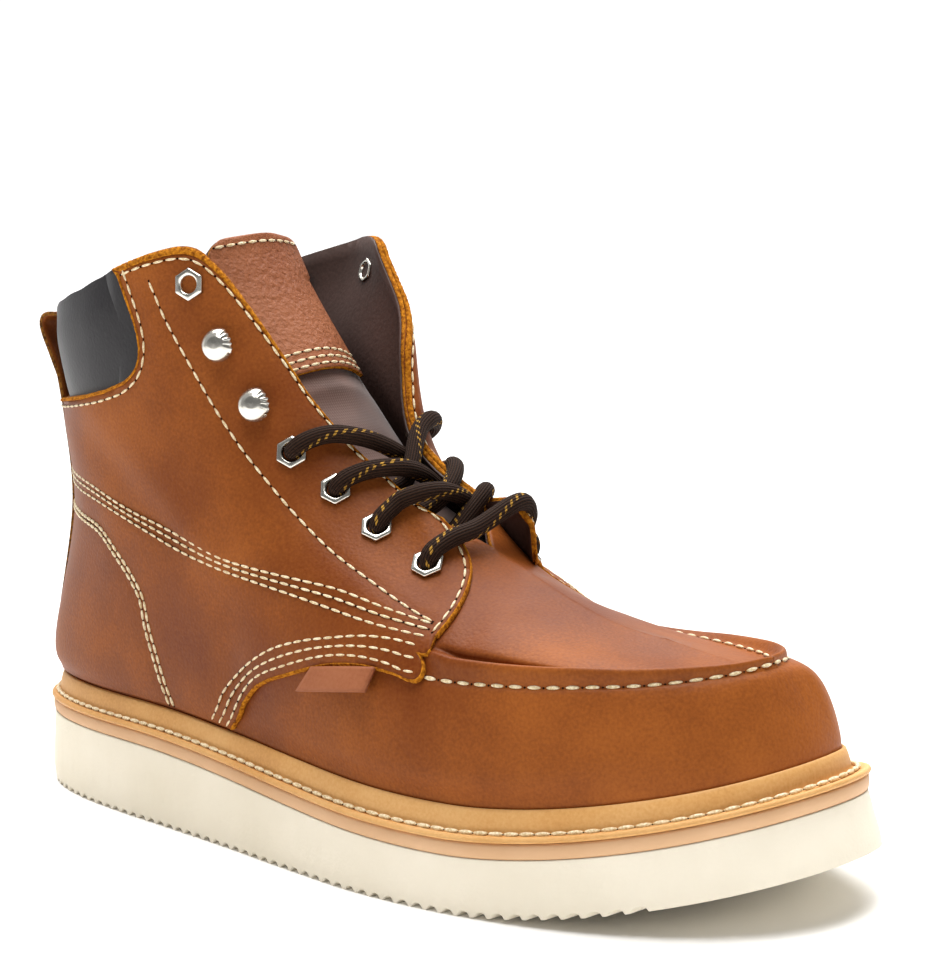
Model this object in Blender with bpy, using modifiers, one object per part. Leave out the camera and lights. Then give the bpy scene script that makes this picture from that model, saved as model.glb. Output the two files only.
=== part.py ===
"""Work boot, right foot: stitched moc toe, padded collar, wedge sole.

Shoe frame while building, in millimetres: x from the back of the outsole (0) to the toe,
y to the inner side of the foot (the outer side is negative), z up from the floor.
"""
import bpy
import bmesh
import numpy as np
from mathutils import Matrix, Vector

MM = 0.001

LENGTH = 306.5
HEEL_THICK = 23.3
BALL_THICK = 15.6
TOE_SPRING = 16.5
SPRING_START = 214.0
MIDSOLE_THICK = 4.5
WELT_THICK = 1.8
LIP_HEIGHT = 6.5
GAP = 0.35
WALL = 2.2
FEATHER_INSET = 7.2
TOE_INSET = 3.4
RIB_PITCH = 5.75
RIB_COUNT = 44
RIB_DEPTH = 1.9
RIB_START = 27.0
RIB_SLANT = 0.19
RIDGE_HEIGHT = 1.7
OVERLAY_STEP = 1.5
PUFF = 3.4
STRAP_HALF = 13.0
STRAP_THICK = 1.3
STRAP_SEAT = 0.55
LACE_RADIUS = 2.7

# Outsole edge: station from heel (0) to toe (1), outer edge y, inner edge y.
OUTLINE = np.array([
    (0.0000, 0.0, 0.0),
    (0.0625, -12.6, 12.6),
    (0.1250, -24.8, 24.8),
    (0.1875, -33.7, 33.4),
    (0.2500, -39.6, 37.4),
    (0.3125, -43.1, 37.7),
    (0.3750, -45.6, 36.2),
    (0.4375, -48.6, 36.8),
    (0.5000, -52.4, 42.2),
    (0.5625, -55.3, 50.4),
    (0.6250, -54.2, 56.6),
    (0.6875, -49.5, 56.0),
    (0.7500, -41.7, 51.4),
    (0.8125, -31.1, 44.8),
    (0.8750, -18.4, 36.4),
    (0.9375, -4.0, 25.5),
    (1.0000, 11.5, 11.5),
])

# One row per upright section of the upper, heel to toe.
# foot: station on the edge; mid: sideways shift of the section; tip: height change of p and q on the inner side;
# out, rise: swell of the wall over the feather line and its height above it;
# p: instep or moc seam; q: between it and the top; t: top line or middle of the vamp.
SECTION_NAMES = ("foot", "mid", "tip", "out", "rise", "px", "py", "pz", "qx", "qy", "qz", "tx", "ty", "tz")
SECTIONS = np.array([
    (0.000, 0.0, 0.0, 2.4, 17, 13.4, 0.0, 92.0, 12.2, 0.0, 122.0, 7.6, 0.0, 152.0),
    (0.092, 0.0, 0.0, 2.2, 17, 21.8, 15.8, 91.8, 19.8, 17.0, 123.5, 15.6, 18.8, 154.5),
    (0.175, -0.3, 0.0, 1.8, 17, 38.2, 27.0, 91.0, 36.0, 28.6, 126.0, 32.6, 31.6, 159.0),
    (0.265, -0.8, 0.0, 1.6, 17, 58.0, 33.6, 90.0, 55.0, 35.2, 129.0, 52.5, 37.6, 164.0),
    (0.335, -1.5, 0.0, 1.4, 17, 77.0, 36.4, 88.0, 73.5, 37.4, 132.0, 73.0, 38.6, 170.5),
    (0.388, -2.0, 0.0, 1.3, 17, 95.5, 37.8, 86.0, 90.0, 37.4, 134.0, 90.0, 36.6, 175.5),
    (0.427, -2.4, 0.0, 1.2, 17, 112.0, 38.6, 84.0, 104.0, 35.6, 132.0, 102.5, 32.0, 177.0),
    (0.460, -2.6, 0.0, 1.2, 17, 126.5, 39.3, 82.0, 117.5, 33.4, 125.5, 110.3, 27.6, 170.5),
    (0.488, -2.6, 0.0, 1.2, 17, 140.0, 39.8, 80.0, 129.5, 30.9, 117.0, 119.0, 24.4, 159.5),
    (0.515, -2.2, -0.6, 1.2, 17, 152.5, 40.2, 78.0, 140.5, 28.6, 109.0, 127.0, 21.6, 147.5),
    (0.541, -1.6, -1.2, 1.3, 17, 164.5, 40.4, 75.6, 151.5, 26.2, 102.0, 135.6, 18.2, 133.0),
    (0.567, -1.0, -1.9, 1.4, 17, 176.0, 40.5, 73.0, 163.0, 24.0, 95.8, 146.5, 14.0, 119.5),
    (0.593, -0.4, -2.6, 1.4, 17, 187.5, 40.4, 70.2, 175.5, 22.2, 89.6, 160.5, 11.8, 109.2),
    (0.619, 0.0, -3.3, 1.4, 17, 198.8, 40.0, 67.4, 188.0, 21.2, 84.6, 177.0, 11.4, 99.6),
    (0.646, 0.0, -3.8, 1.2, 17, 210.3, 39.2, 65.6, 200.0, 20.2, 80.2, 190.5, 0.0, 89.4),
    (0.676, 0.2, -3.8, 1.0, 17, 222.5, 37.8, 65.2, 211.5, 19.4, 76.8, 203.0, 0.0, 84.0),
    (0.708, 0.6, -3.3, 0.4, 17.8, 234.6, 35.4, 65.2, 222.6, 18.4, 74.1, 214.5, 0.0, 79.6),
    (0.744, 1.5, -2.6, -0.7, 19.6, 246.9, 32.1, 65.4, 233.3, 16.8, 72.0, 225.0, 0.0, 76.4),
    (0.786, 2.6, -1.7, -2.3, 21.1, 258.8, 27.2, 65.3, 243.7, 14.4, 70.4, 234.0, 0.0, 74.2),
    (0.838, 4.0, -0.9, -4.3, 23.2, 269.3, 20.3, 65.3, 252.6, 10.8, 69.1, 241.5, 0.0, 72.8),
    (0.908, 5.5, -0.3, -5.8, 24.2, 277.2, 11.2, 65.2, 259.3, 5.8, 68.5, 247.0, 0.0, 72.0),
    (1.000, 6.2, 0.0, -6.2, 23.2, 280.2, 0.0, 65.3, 262.3, 0.0, 68.8, 250.0, 0.0, 71.7),
])
SLOT_ROW = 14
V_KNOTS = np.array([0.0, 0.09, 0.30, 0.55, 0.78, 1.0])

# Notch of the collar seen from the side: x, z from the top edge round to the back.
NOTCH = np.array([
    (75.8, 168.5), (79.2, 161.0), (82.8, 153.0), (84.2, 146.5), (82.6, 141.0),
    (77.0, 136.8), (66.0, 133.4), (50.0, 130.6), (30.0, 128.4), (-25.0, 124.0),
])

# Quarter lying over the vamp seen from the side: x, z of its raw edge.
QUARTER_EDGE = np.array([
    (70.0, 36.5), (90.0, 36.1), (110.0, 35.0), (122.8, 34.1), (125.0, 38.0), (129.5, 43.5), (137.5, 50.5), (149.5, 55.5),
    (161.0, 58.8), (172.0, 61.0), (184.0, 61.6), (193.0, 60.6), (198.5, 60.2), (201.0, 63.0), (202.0, 68.0),
    (202.6, 73.5), (202.0, 78.5), (200.0, 84.0), (196.5, 89.0), (193.0, 96.0),
])

# Opening between the quarters seen from above, where they lie on the vamp: x, half width.
THROAT = np.array([
    (150.0, 8.0), (172.0, 11.0), (182.0, 11.8), (190.0, 13.4), (196.5, 16.0), (201.5, 19.4), (205.0, 23.5),
    (209.0, 29.0),
])

# Hardware on each facing from the vamp up: section row, height on the section, seat over the leather.
EYELETS = np.array([
    (12.75, 0.783, 1.00), (11.37, 0.799, 0.80), (10.30, 0.825, 0.75), (9.05, 0.828, 0.65), (6.07, 0.946, 0.50),
])
HOOKS = np.array([(8.03, 0.851, 0.5), (7.01, 0.889, 0.5)])
EYELET_REACH = 4.95
EYELET_THICK = 1.3
EYELET_HOLE = 2.5
BARREL_RADIUS = 3.0
BARREL_DEPTH = 3.6
UPPER_HOLE = 3.5
# Domed hook turned about its stem: radius, height over the facing.
HOOK_PROFILE = np.array([
    (0.0, 0.0), (3.6, 0.0), (3.5, 0.8), (2.2, 1.0), (2.2, 2.6), (4.9, 3.0), (5.2, 3.7), (3.6, 5.1), (0.0, 5.8),
])

# Tongue along its middle from the vamp up: x, z, half width, sag of its sides.
TONGUE = np.array([
    (205.0, 79.1, 11.0, 3.9), (197.0, 82.0, 13.2, 5.4), (187.0, 86.8, 15.6, 6.2),
    (172.0, 95.5, 17.6, 6.2), (157.0, 105.8, 19.0, 6.8), (143.0, 117.5, 20.0, 6.8),
    (131.0, 130.0, 21.0, 6.6), (124.0, 138.2, 21.0, 6.5), (108.5, 158.0, 20.5, 6.2),
    (99.0, 172.5, 18.0, 5.0), (96.0, 179.5, 12.0, 2.6),
])
TONGUE_THICK = 3.0
PATCH_FROM = 7
PATCH_THICK = 1.2

# Pull loop leaving the back strip: x, z of its outer face, bow across its width.
LOOP = np.array([
    (4.6, 133.5, 3.4), (0.6, 141.5, 2.7), (-2.4, 147.8, 2.0), (-2.8, 153.2, 1.2),
    (0.2, 157.4, 0.4), (5.0, 159.2, -0.2), (10.6, 158.6, -1.0), (15.6, 154.6, -3.0), (18.2, 146.5, -4.6),
])

# Folded tab under the outer quarter's edge: section row, height on the section, corner by corner.
TAB = np.array([(9.50, 0.437), (11.64, 0.475), (11.37, 0.426), (9.01, 0.387)])
TAB_THICK = 1.2


def hermite(xs, ys, x):
    """Smooth curve through the rows of a table."""
    xs = np.asarray(xs, float)
    ys = np.asarray(ys, float)
    x = np.clip(np.asarray(x, float), xs[0], xs[-1])
    slope = np.gradient(ys, xs, axis=0)
    k = np.clip(np.searchsorted(xs, x, side="right") - 1, 0, len(xs) - 2)
    h = xs[k + 1] - xs[k]
    t = (x - xs[k]) / h
    if ys.ndim > 1:
        h = h[..., None]
        t = t[..., None]
    a = (1 + 2 * t) * (1 - t) ** 2 * ys[k] + t * (1 - t) ** 2 * h * slope[k]
    return a + t * t * (3 - 2 * t) * ys[k + 1] + t * t * (t - 1) * h * slope[k + 1]


def ramp(a, b, x):
    t = np.clip((np.asarray(x, float) - a) / (b - a), 0, 1)
    return t * t * (3 - 2 * t)


def edge(station, side, inset=0.0):
    """Point of the sole edge at a station, moved inwards."""
    s = np.asarray(station, float)
    inset = np.asarray(inset, float)

    def raw(q):
        q = np.clip(q, 0, 1)
        y = hermite(OUTLINE[:, 0], OUTLINE[:, 1 if side < 0 else 2], q)
        return np.stack([LENGTH / 2 * (1 - np.cos(np.pi * q)), y], -1)

    d = 0.004
    tangent = raw(s + d) - raw(s - d)
    end = (s < d) | (s > 1 - d)
    tangent[..., 0] = np.where(end, 0.0, tangent[..., 0])
    tangent /= np.linalg.norm(tangent, axis=-1, keepdims=True)
    inward = np.stack([-tangent[..., 1], tangent[..., 0]], -1) * (1 if side < 0 else -1)
    return raw(s) + inward * inset[..., None]


def sole_bottom(x):
    return TOE_SPRING * np.clip((x - SPRING_START) / (LENGTH - SPRING_START), 0, None) ** 1.7


def outsole_top(x):
    return sole_bottom(x) + HEEL_THICK + (BALL_THICK - HEEL_THICK) * ramp(70, 210, x)


def welt_top(x):
    return outsole_top(x) + MIDSOLE_THICK + WELT_THICK


def draft(station):
    """How far the layers over the outsole draw in at the heel and the toe."""
    return 1.6 * (1 - ramp(0.0, 0.16, station)) + 2.8 * ramp(0.78, 0.96, station)


def feather_inset(station):
    inset = FEATHER_INSET - 2.0 * (1 - ramp(0.0, 0.26, station))
    return inset + TOE_INSET * ramp(0.80, 1.0, station) + draft(station)


def column_points(side, row):
    """The six knots of each upright section, foot to top."""
    row = np.asarray(row, float)
    table = hermite(np.arange(len(SECTIONS)), SECTIONS, row)
    c = {name: table[..., i] for i, name in enumerate(SECTION_NAMES)}
    station = np.clip(c["foot"], 0, 1)
    inset = feather_inset(station)
    foot = edge(station, side, inset + 0.6)
    lip = edge(station, side, inset)
    swell = edge(station, side, inset - c["out"])
    zf = welt_top(foot[..., 0]) + GAP
    zl = zf + LIP_HEIGHT
    mid = c["mid"]
    k = np.empty(row.shape + (6, 3))
    k[..., 0, :] = np.concatenate([foot, zf[..., None]], -1)
    k[..., 1, :] = np.concatenate([lip, zl[..., None]], -1)
    k[..., 2, :] = np.concatenate([swell, (zf + c["rise"])[..., None]], -1)
    tip = c["tip"] if side > 0 else 0
    k[..., 3, :] = np.stack([c["px"], side * c["py"] + mid, c["pz"] + tip], -1)
    k[..., 4, :] = np.stack([c["qx"], side * c["qy"] + 0.7 * mid, c["qz"] + tip], -1)
    k[..., 5, :] = np.stack([c["tx"], side * np.maximum(c["ty"], 0) + 0.4 * mid, c["tz"]], -1)
    return k


def skin(side, row, v):
    """Outer face of the upper: section row, height on the section from 0 to 1."""
    row, v = np.broadcast_arrays(np.asarray(row, float), np.asarray(v, float))
    k = column_points(side, row)
    slope = np.gradient(k, V_KNOTS, axis=-2)
    i = np.clip(np.searchsorted(V_KNOTS, v, side="right") - 1, 0, 4)
    h = (V_KNOTS[i + 1] - V_KNOTS[i])[..., None]
    t = ((v - V_KNOTS[i]) / h[..., 0])[..., None]
    take = lambda a, j: np.take_along_axis(a, j[..., None, None], -2)[..., 0, :]
    p = (1 + 2 * t) * (1 - t) ** 2 * take(k, i) + t * (1 - t) ** 2 * h * take(slope, i)
    p = p + t * t * (3 - 2 * t) * take(k, i + 1) + t * t * (t - 1) * h * take(slope, i + 1)
    lift = RIDGE_HEIGHT * ramp(13.2, 14.6, row) * np.exp(-((v - 0.55) / 0.022) ** 2)
    p[..., 2] += lift
    return p


def skin_normal(side, row, v):
    row, v = np.broadcast_arrays(np.asarray(row, float), np.asarray(v, float))
    d = 0.02
    top = len(SECTIONS) - 1
    du = skin(side, np.clip(row + d, 0, top), v) - skin(side, np.clip(row - d, 0, top), v)
    dv = skin(side, row, np.clip(v + 0.01, 0, 1)) - skin(side, row, np.clip(v - 0.01, 0, 1))
    n = np.cross(du, dv) * -side
    return n / np.maximum(np.linalg.norm(n, axis=-1, keepdims=True), 1e-9)


def clear_scene():
    for o in list(bpy.data.objects):
        bpy.data.objects.remove(o, do_unlink=True)


def collection(name):
    c = bpy.data.collections.new(name)
    bpy.context.scene.collection.children.link(c)
    return c


def material(name, rgb, roughness, metallic=0.0):
    m = bpy.data.materials.new(name)
    m.use_nodes = True
    b = m.node_tree.nodes["Principled BSDF"]
    b.inputs["Base Color"].default_value = (*rgb, 1.0)
    b.inputs["Roughness"].default_value = roughness
    b.inputs["Metallic"].default_value = metallic
    return m


def solid(name, verts, faces, mat, where):
    mesh = bpy.data.meshes.new(name)
    mesh.from_pydata([tuple(p) for p in np.asarray(verts) * MM], [], [tuple(map(int, f)) for f in faces])
    b = bmesh.new()
    b.from_mesh(mesh)
    bmesh.ops.recalc_face_normals(b, faces=b.faces)
    b.to_mesh(mesh)
    b.free()
    o = bpy.data.objects.new(name, mesh)
    where.objects.link(o)
    if mat:
        mesh.materials.append(mat)
    return o


def boolean(target, tool, operation):
    m = target.modifiers.new(operation.lower(), "BOOLEAN")
    m.operation = operation
    m.object = tool
    m.solver = "EXACT"
    bpy.context.view_layer.update()
    graph = bpy.context.evaluated_depsgraph_get()
    mesh = bpy.data.meshes.new_from_object(target.evaluated_get(graph))
    target.modifiers.clear()
    old = target.data
    target.data = mesh
    mesh.name = target.name
    bpy.data.meshes.remove(old)


def tidy(target, merge=0.00004):
    b = bmesh.new()
    b.from_mesh(target.data)
    bmesh.ops.remove_doubles(b, verts=b.verts, dist=merge)
    bmesh.ops.dissolve_degenerate(b, edges=b.edges, dist=merge)
    bmesh.ops.triangulate(b, faces=[f for f in b.faces if len(f.verts) > 4])
    bmesh.ops.recalc_face_normals(b, faces=b.faces)
    b.to_mesh(target.data)
    b.free()


def prism(name, outline, half, where):
    """Side-view outline drawn out across the shoe."""
    n = len(outline)
    verts = [(x, y, z) for y in (-half, half) for x, z in outline]
    faces = [tuple(range(n)), tuple(range(n, 2 * n))]
    faces += [(i, (i + 1) % n, n + (i + 1) % n, n + i) for i in range(n)]
    o = solid(name, verts, faces, None, where)
    o.hide_render = True
    o.display_type = "WIRE"
    return o


def plan_prism(name, widths, low, high, where):
    """Plan outline, the same on both sides, drawn up from low to high."""
    outline = [(x, -y) for x, y in widths] + [(x, y) for x, y in widths[::-1]]
    n = len(outline)
    verts = [(x, y, z) for z in (low, high) for x, y in outline]
    faces = [tuple(range(n)), tuple(range(n, 2 * n))]
    faces += [(i, (i + 1) % n, n + (i + 1) % n, n + i) for i in range(n)]
    o = solid(name, verts, faces, None, where)
    o.hide_render = True
    o.display_type = "WIRE"
    return o


def plate(name, stations, levels, mat, where):
    """Slab between the outer and inner edge: levels run from the bottom ring to the top ring."""
    outer, inner = stations
    n = len(outer)
    verts = []
    for level in levels:
        for side, s in ((-1, outer), (1, inner)):
            verts.extend(level(side, s))
    at = lambda r, side, i: r * 2 * n + (0 if side < 0 else n) + i
    faces = []
    for r in range(len(levels) - 1):
        for side in (-1, 1):
            for i in range(n - 1):
                faces.append((at(r, side, i), at(r, side, i + 1), at(r + 1, side, i + 1), at(r + 1, side, i)))
        for i in (0, n - 1):
            faces.append((at(r, -1, i), at(r, 1, i), at(r + 1, 1, i), at(r + 1, -1, i)))
    for r in (0, len(levels) - 1):
        for i in range(n - 1):
            faces.append((at(r, -1, i), at(r, -1, i + 1), at(r, 1, i + 1), at(r, 1, i)))
    return solid(name, verts, faces, mat, where)


def ring(name, stations, section, mat, where):
    """Closed strip round the edge: the section is a loop of inset, height pairs at each station."""
    verts = []
    columns = [(-1, s) for s in stations] + [(1, s) for s in stations[-2:0:-1]]
    for side, s in columns:
        verts.extend(section(side, s))
    m = len(verts) // len(columns)
    n = len(columns)
    faces = []
    for i in range(n):
        for j in range(m):
            a, b = i, (i + 1) % n
            faces.append((a * m + j, b * m + j, b * m + (j + 1) % m, a * m + (j + 1) % m))
    return solid(name, verts, faces, mat, where)


def make_outsole(mat, where):
    """Wedge outsole with slanted ribs across its tread."""
    fine = np.linspace(0, 1, 4001)
    slanted = {}
    for side in (-1, 1):
        p = edge(fine, side)
        slanted[side] = np.maximum.accumulate(p[:, 0] - RIB_SLANT * p[:, 1])
    along = []
    depth = []
    for k in range(RIB_COUNT):
        a = RIB_START + k * RIB_PITCH
        along += [a, a + 0.3 * RIB_PITCH, a + 0.6 * RIB_PITCH]
        depth += [0, RIB_DEPTH, 0]
    heel_ends = {side: np.interp(along[0], slanted[side], fine) for side in (-1, 1)}
    toe_ends = {side: np.interp(along[-1], slanted[side], fine) for side in (-1, 1)}
    stations = []
    cap = 8
    for side in (-1, 1):
        tread = np.interp(along, slanted[side], fine)
        heel = heel_ends[side] * np.linspace(0.06, 1, cap, endpoint=False)
        toe = toe_ends[side] + (1 - toe_ends[side]) * np.linspace(0, 0.97, cap + 1)[1:]
        stations.append(np.concatenate([heel, tread, toe]))
    groove = np.concatenate([np.zeros(cap), depth, np.zeros(cap)])

    def heel_round(s):
        return 0.8 + 6.5 * (1 - ramp(0.02, 0.20, s))

    def bottom(side, s):
        p = edge(s, side, 0.5 * heel_round(s))
        return np.column_stack([p, sole_bottom(p[:, 0]) + groove])

    def shoulder(side, s):
        p = edge(s, side)
        return np.column_stack([p, sole_bottom(p[:, 0]) + 2.2 + 0.8 * heel_round(s)])

    def top(side, s):
        p = edge(s, side, 1.7 + draft(s))
        return np.column_stack([p, outsole_top(p[:, 0])])

    return plate("outsole", stations, [bottom, shoulder, top], mat, where)


def cosine_stations(count):
    """Stations close together at the heel and toe ends of the sole edge."""
    s = np.linspace(0, 1, count)
    s[0] = 0.012
    s[-1] = 0.988
    return s


def make_midsole(mat, where):
    def at(inset, rise):
        def level(side, s):
            p = edge(s, side, inset(s) if callable(inset) else inset + draft(s))
            return np.column_stack([p, outsole_top(p[:, 0]) + rise])
        return level

    filler = lambda s: feather_inset(s) + 6.6
    levels = [at(2.0, GAP), at(1.5, 2.2), at(1.7, MIDSOLE_THICK), at(filler, MIDSOLE_THICK),
              at(filler, MIDSOLE_THICK + WELT_THICK)]
    s = cosine_stations(34)
    return plate("midsole", (s, s), levels, mat, where)


def make_welt(mat, where):
    """Flange with a stitch groove and a lip leaning on the upper."""
    low = MIDSOLE_THICK + GAP
    high = MIDSOLE_THICK + WELT_THICK

    def section(side, s):
        d = float(draft(s))
        f = float(feather_inset(s))
        rows = [(f + 6.2, low), (d + 1.6, low), (d + 0.9, 0.5 * (low + high)), (d + 2.0, high),
                (d + 3.3, high - 0.6), (f - 2.6, high), (f - 2.0, high + 2.4),
                (f - 1.0, high + LIP_HEIGHT - 0.1), (f - GAP, high + LIP_HEIGHT - 0.2),
                (f + 0.25, high), (f + 6.2, high)]
        out = []
        for inset, rise in rows:
            x, y = edge(np.array(s), side, np.array(inset))
            out.append((x, y, float(outsole_top(x)) + rise))
        return out

    return ring("welt", np.linspace(0, 1, 32), section, mat, where)


def make_insole(mat, where):
    inset = lambda s: feather_inset(s) + 0.6 + WALL + 0.6

    def at(extra, rise):
        def level(side, s):
            p = edge(s, side, inset(s) + extra)
            return np.column_stack([p, welt_top(p[:, 0]) + rise])
        return level

    s = cosine_stations(30)
    return plate("insole", (s, s), [at(0, GAP), at(0, 3.2), at(0.8, 4.0)], mat, where)


class Shell:
    """Both halves of the upper as one grid, with shared columns at heel, toe and vamp middle."""

    def __init__(self, rows, heights):
        self.rows = np.asarray(rows, float)
        self.v = np.asarray(heights, float)
        self.index = {}
        self.points = []
        n, m = len(self.rows) - 1, len(self.v) - 1
        self.n, self.m = n, m
        self.slot = int(np.argmin(np.abs(self.rows - SLOT_ROW)))
        for side in (-1, 1):
            grid = skin(side, self.rows[:, None], self.v[None, :])
            for i in range(n + 1):
                for j in range(m + 1):
                    key = self.key(side, i, j)
                    if key not in self.index:
                        self.index[key] = len(self.points)
                        self.points.append(grid[i, j])
        self.points = np.array(self.points)
        self.quads = []
        for side in (-1, 1):
            for i in range(n):
                for j in range(m):
                    q = [self.at(side, i + a, j + b) for a, b in ((0, 0), (1, 0), (1, 1), (0, 1))]
                    self.quads.append(q if side < 0 else q[::-1])
        self.normals = np.zeros_like(self.points)
        for q in self.quads:
            p = self.points[q]
            self.normals[q] += np.cross(p[2] - p[0], p[3] - p[1])
        self.normals /= np.linalg.norm(self.normals, axis=1, keepdims=True)
        for side in (-1, 1):
            for i in range(n + 1):
                k = self.at(side, i, 0)
                flat = self.normals[k] * (1, 1, 0)
                self.normals[k] = flat / np.linalg.norm(flat)

    def key(self, side, i, j):
        shared = i in (0, self.n) or (j == self.m and i >= self.slot)
        return (0 if shared else side, i, j)

    def at(self, side, i, j):
        return self.index[self.key(side, i, j)]

    def build(self, name, outer, inner, mat, where):
        count = len(self.points)
        verts = np.concatenate([self.points + self.normals * outer, self.points + self.normals * inner])
        faces = list(self.quads) + [[count + k for k in q[::-1]] for q in self.quads]
        for side in (-1, 1):
            for i in range(self.n):
                runs = [0] + ([self.m] if i < self.slot else [])
                for j in runs:
                    a, b = self.at(side, i, j), self.at(side, i + 1, j)
                    faces.append([a, b, count + b, count + a])
        return solid(name, verts, faces, mat, where)


def eyelet_frame(side, row, v):
    """Point on the outer face of a facing with its normal and the direction along the facing."""
    p = skin(side, row, v)
    n = skin_normal(side, row, v)
    along = skin(side, row + 0.3, v) - skin(side, row - 0.3, v)
    along -= n * np.dot(along, n)
    along /= np.linalg.norm(along)
    return p, along, np.cross(n, along), n


def turned(profile, frame, count, lift, corners=None):
    """Points of a profile turned about the normal of a frame."""
    p, a, b, n = frame
    verts = []
    for r, h in profile:
        for k in range(count):
            t = 2 * np.pi * k / count
            reach = r * (corners(t) if corners and r > BARREL_RADIUS + 0.1 else 1.0)
            verts.append(p + (a * np.cos(t) + b * np.sin(t)) * reach + n * (h + lift))
    return verts


def make_upper(mat, where, tools):
    """Hollow upper: the quarters stand proud of the vamp, the collar is notched for its pad."""
    rows = np.concatenate([np.linspace(0, 14, 20), np.linspace(14, 21, 11)[1:]])
    heights = [0, 0.09, 0.20, 0.32, 0.44, 0.525, 0.55, 0.575, 0.66, 0.77, 0.88, 1.0]
    upper = Shell(rows, heights).build("upper", 0.0, -WALL, mat, where)
    cover = Shell(rows, heights[:-1] + [0.994]).build("quarter_cover", OVERLAY_STEP, -0.9, mat, where)
    body = list(QUARTER_EDGE) + [(193.0, 220.0), (-40.0, 220.0), (-40.0, 36.5)]
    boolean(cover, prism("quarter_outline", body, 80, tools), "INTERSECT")
    boolean(cover, plan_prism("throat_opening", THROAT, 60, 130, tools), "DIFFERENCE")
    boolean(upper, cover, "UNION")
    bpy.data.objects.remove(cover, do_unlink=True)
    boolean(upper, prism("collar_notch", list(NOTCH) + [(-25.0, 200.0), (75.8, 200.0)], 70, tools), "DIFFERENCE")
    verts = []
    faces = []
    sides = 8
    for side in (-1, 1):
        for row, v, seat in EYELETS:
            k = len(verts)
            frame = eyelet_frame(side, row, v)
            verts += turned([(UPPER_HOLE, -6.0), (UPPER_HOLE, 5.0)], frame, sides, seat)
            faces += [[k + i, k + (i + 1) % sides, k + sides + (i + 1) % sides, k + sides + i] for i in range(sides)]
            faces += [[k + i for i in range(sides)], [k + sides + i for i in range(sides)]]
    holes = solid("eyelet_holes", verts, faces, None, tools)
    holes.hide_render = True
    holes.display_type = "WIRE"
    boolean(upper, holes, "DIFFERENCE")
    tidy(upper)
    return upper


def shrink(line, gap):
    """Side-view line moved to its right-hand side."""
    t = np.gradient(line, axis=0)
    t /= np.linalg.norm(t, axis=1, keepdims=True)
    return line + np.stack([t[:, 1], -t[:, 0]], 1) * gap


def grid_solid(name, outer, inner, mat, where):
    """Closed slab between two grids of points of the same shape."""
    n, m = outer.shape[:2]
    verts = np.concatenate([outer.reshape(-1, 3), inner.reshape(-1, 3)])
    at = lambda i, j, k: k * n * m + i * m + j
    faces = []
    for i in range(n - 1):
        for j in range(m - 1):
            for k in (0, 1):
                faces.append((at(i, j, k), at(i + 1, j, k), at(i + 1, j + 1, k), at(i, j + 1, k)))
    for i in range(n - 1):
        for j in (0, m - 1):
            faces.append((at(i, j, 0), at(i + 1, j, 0), at(i + 1, j, 1), at(i, j, 1)))
    for j in range(m - 1):
        for i in (0, n - 1):
            faces.append((at(i, j, 0), at(i, j + 1, 0), at(i, j + 1, 1), at(i, j, 1)))
    return solid(name, verts, faces, mat, where)


def across(rows, v):
    """Grid from the outer side over the heel seam to the inner side, with normals."""
    rows = np.asarray(rows, float)
    columns = [(-1, r) for r in rows[::-1]] + [(1, r) for r in rows[1:]]
    p = np.array([skin(side, np.full(len(v), r), v) for side, r in columns])
    n = np.array([skin_normal(side, np.full(len(v), r), v) for side, r in columns])
    seam = len(rows) - 1
    n[seam] = n[seam] * (1, 0, 1)
    n /= np.linalg.norm(n, axis=-1, keepdims=True)
    return p, n


def make_collar_pad(mat, where, tools):
    """Padded back of the collar filling the notch."""
    v = np.array([0.77, 0.81, 0.86, 0.92, 0.98, 1.0])
    p, n = across([0, 0.6, 1.2, 2.0, 3.0, 3.8, 4.4, 4.8], v)
    depth = np.full(p.shape[:2], 1e9)
    for a, b in zip(NOTCH[:-1], NOTCH[1:]):
        t = np.clip(((p[..., 0] - a[0]) * (b - a)[0] + (p[..., 2] - a[1]) * (b - a)[1]) / np.dot(b - a, b - a), 0, 1)
        depth = np.minimum(depth, np.hypot(p[..., 0] - a[0] - t * (b - a)[0], p[..., 2] - a[1] - t * (b - a)[1]))
    rise = PUFF * np.sqrt(np.clip(depth / 12.0, 0, 1)) + 0.6
    rise *= np.where(v > 0.99, 0.15, np.where(v > 0.97, 0.8, 1.0))
    sink = np.where(v > 0.99, -2.6, np.where(v > 0.97, -4.0, -4.6)) + 0 * rise
    pad = grid_solid("collar_pad", p + n * rise[..., None], p + n * sink[..., None], mat, where)
    line = shrink(NOTCH, GAP)
    room = prism("pad_room", list(line) + [(-25.0, 200.0), (line[0, 0], 200.0)], 70, tools)
    boolean(pad, room, "INTERSECT")
    tidy(pad)
    return pad


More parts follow.
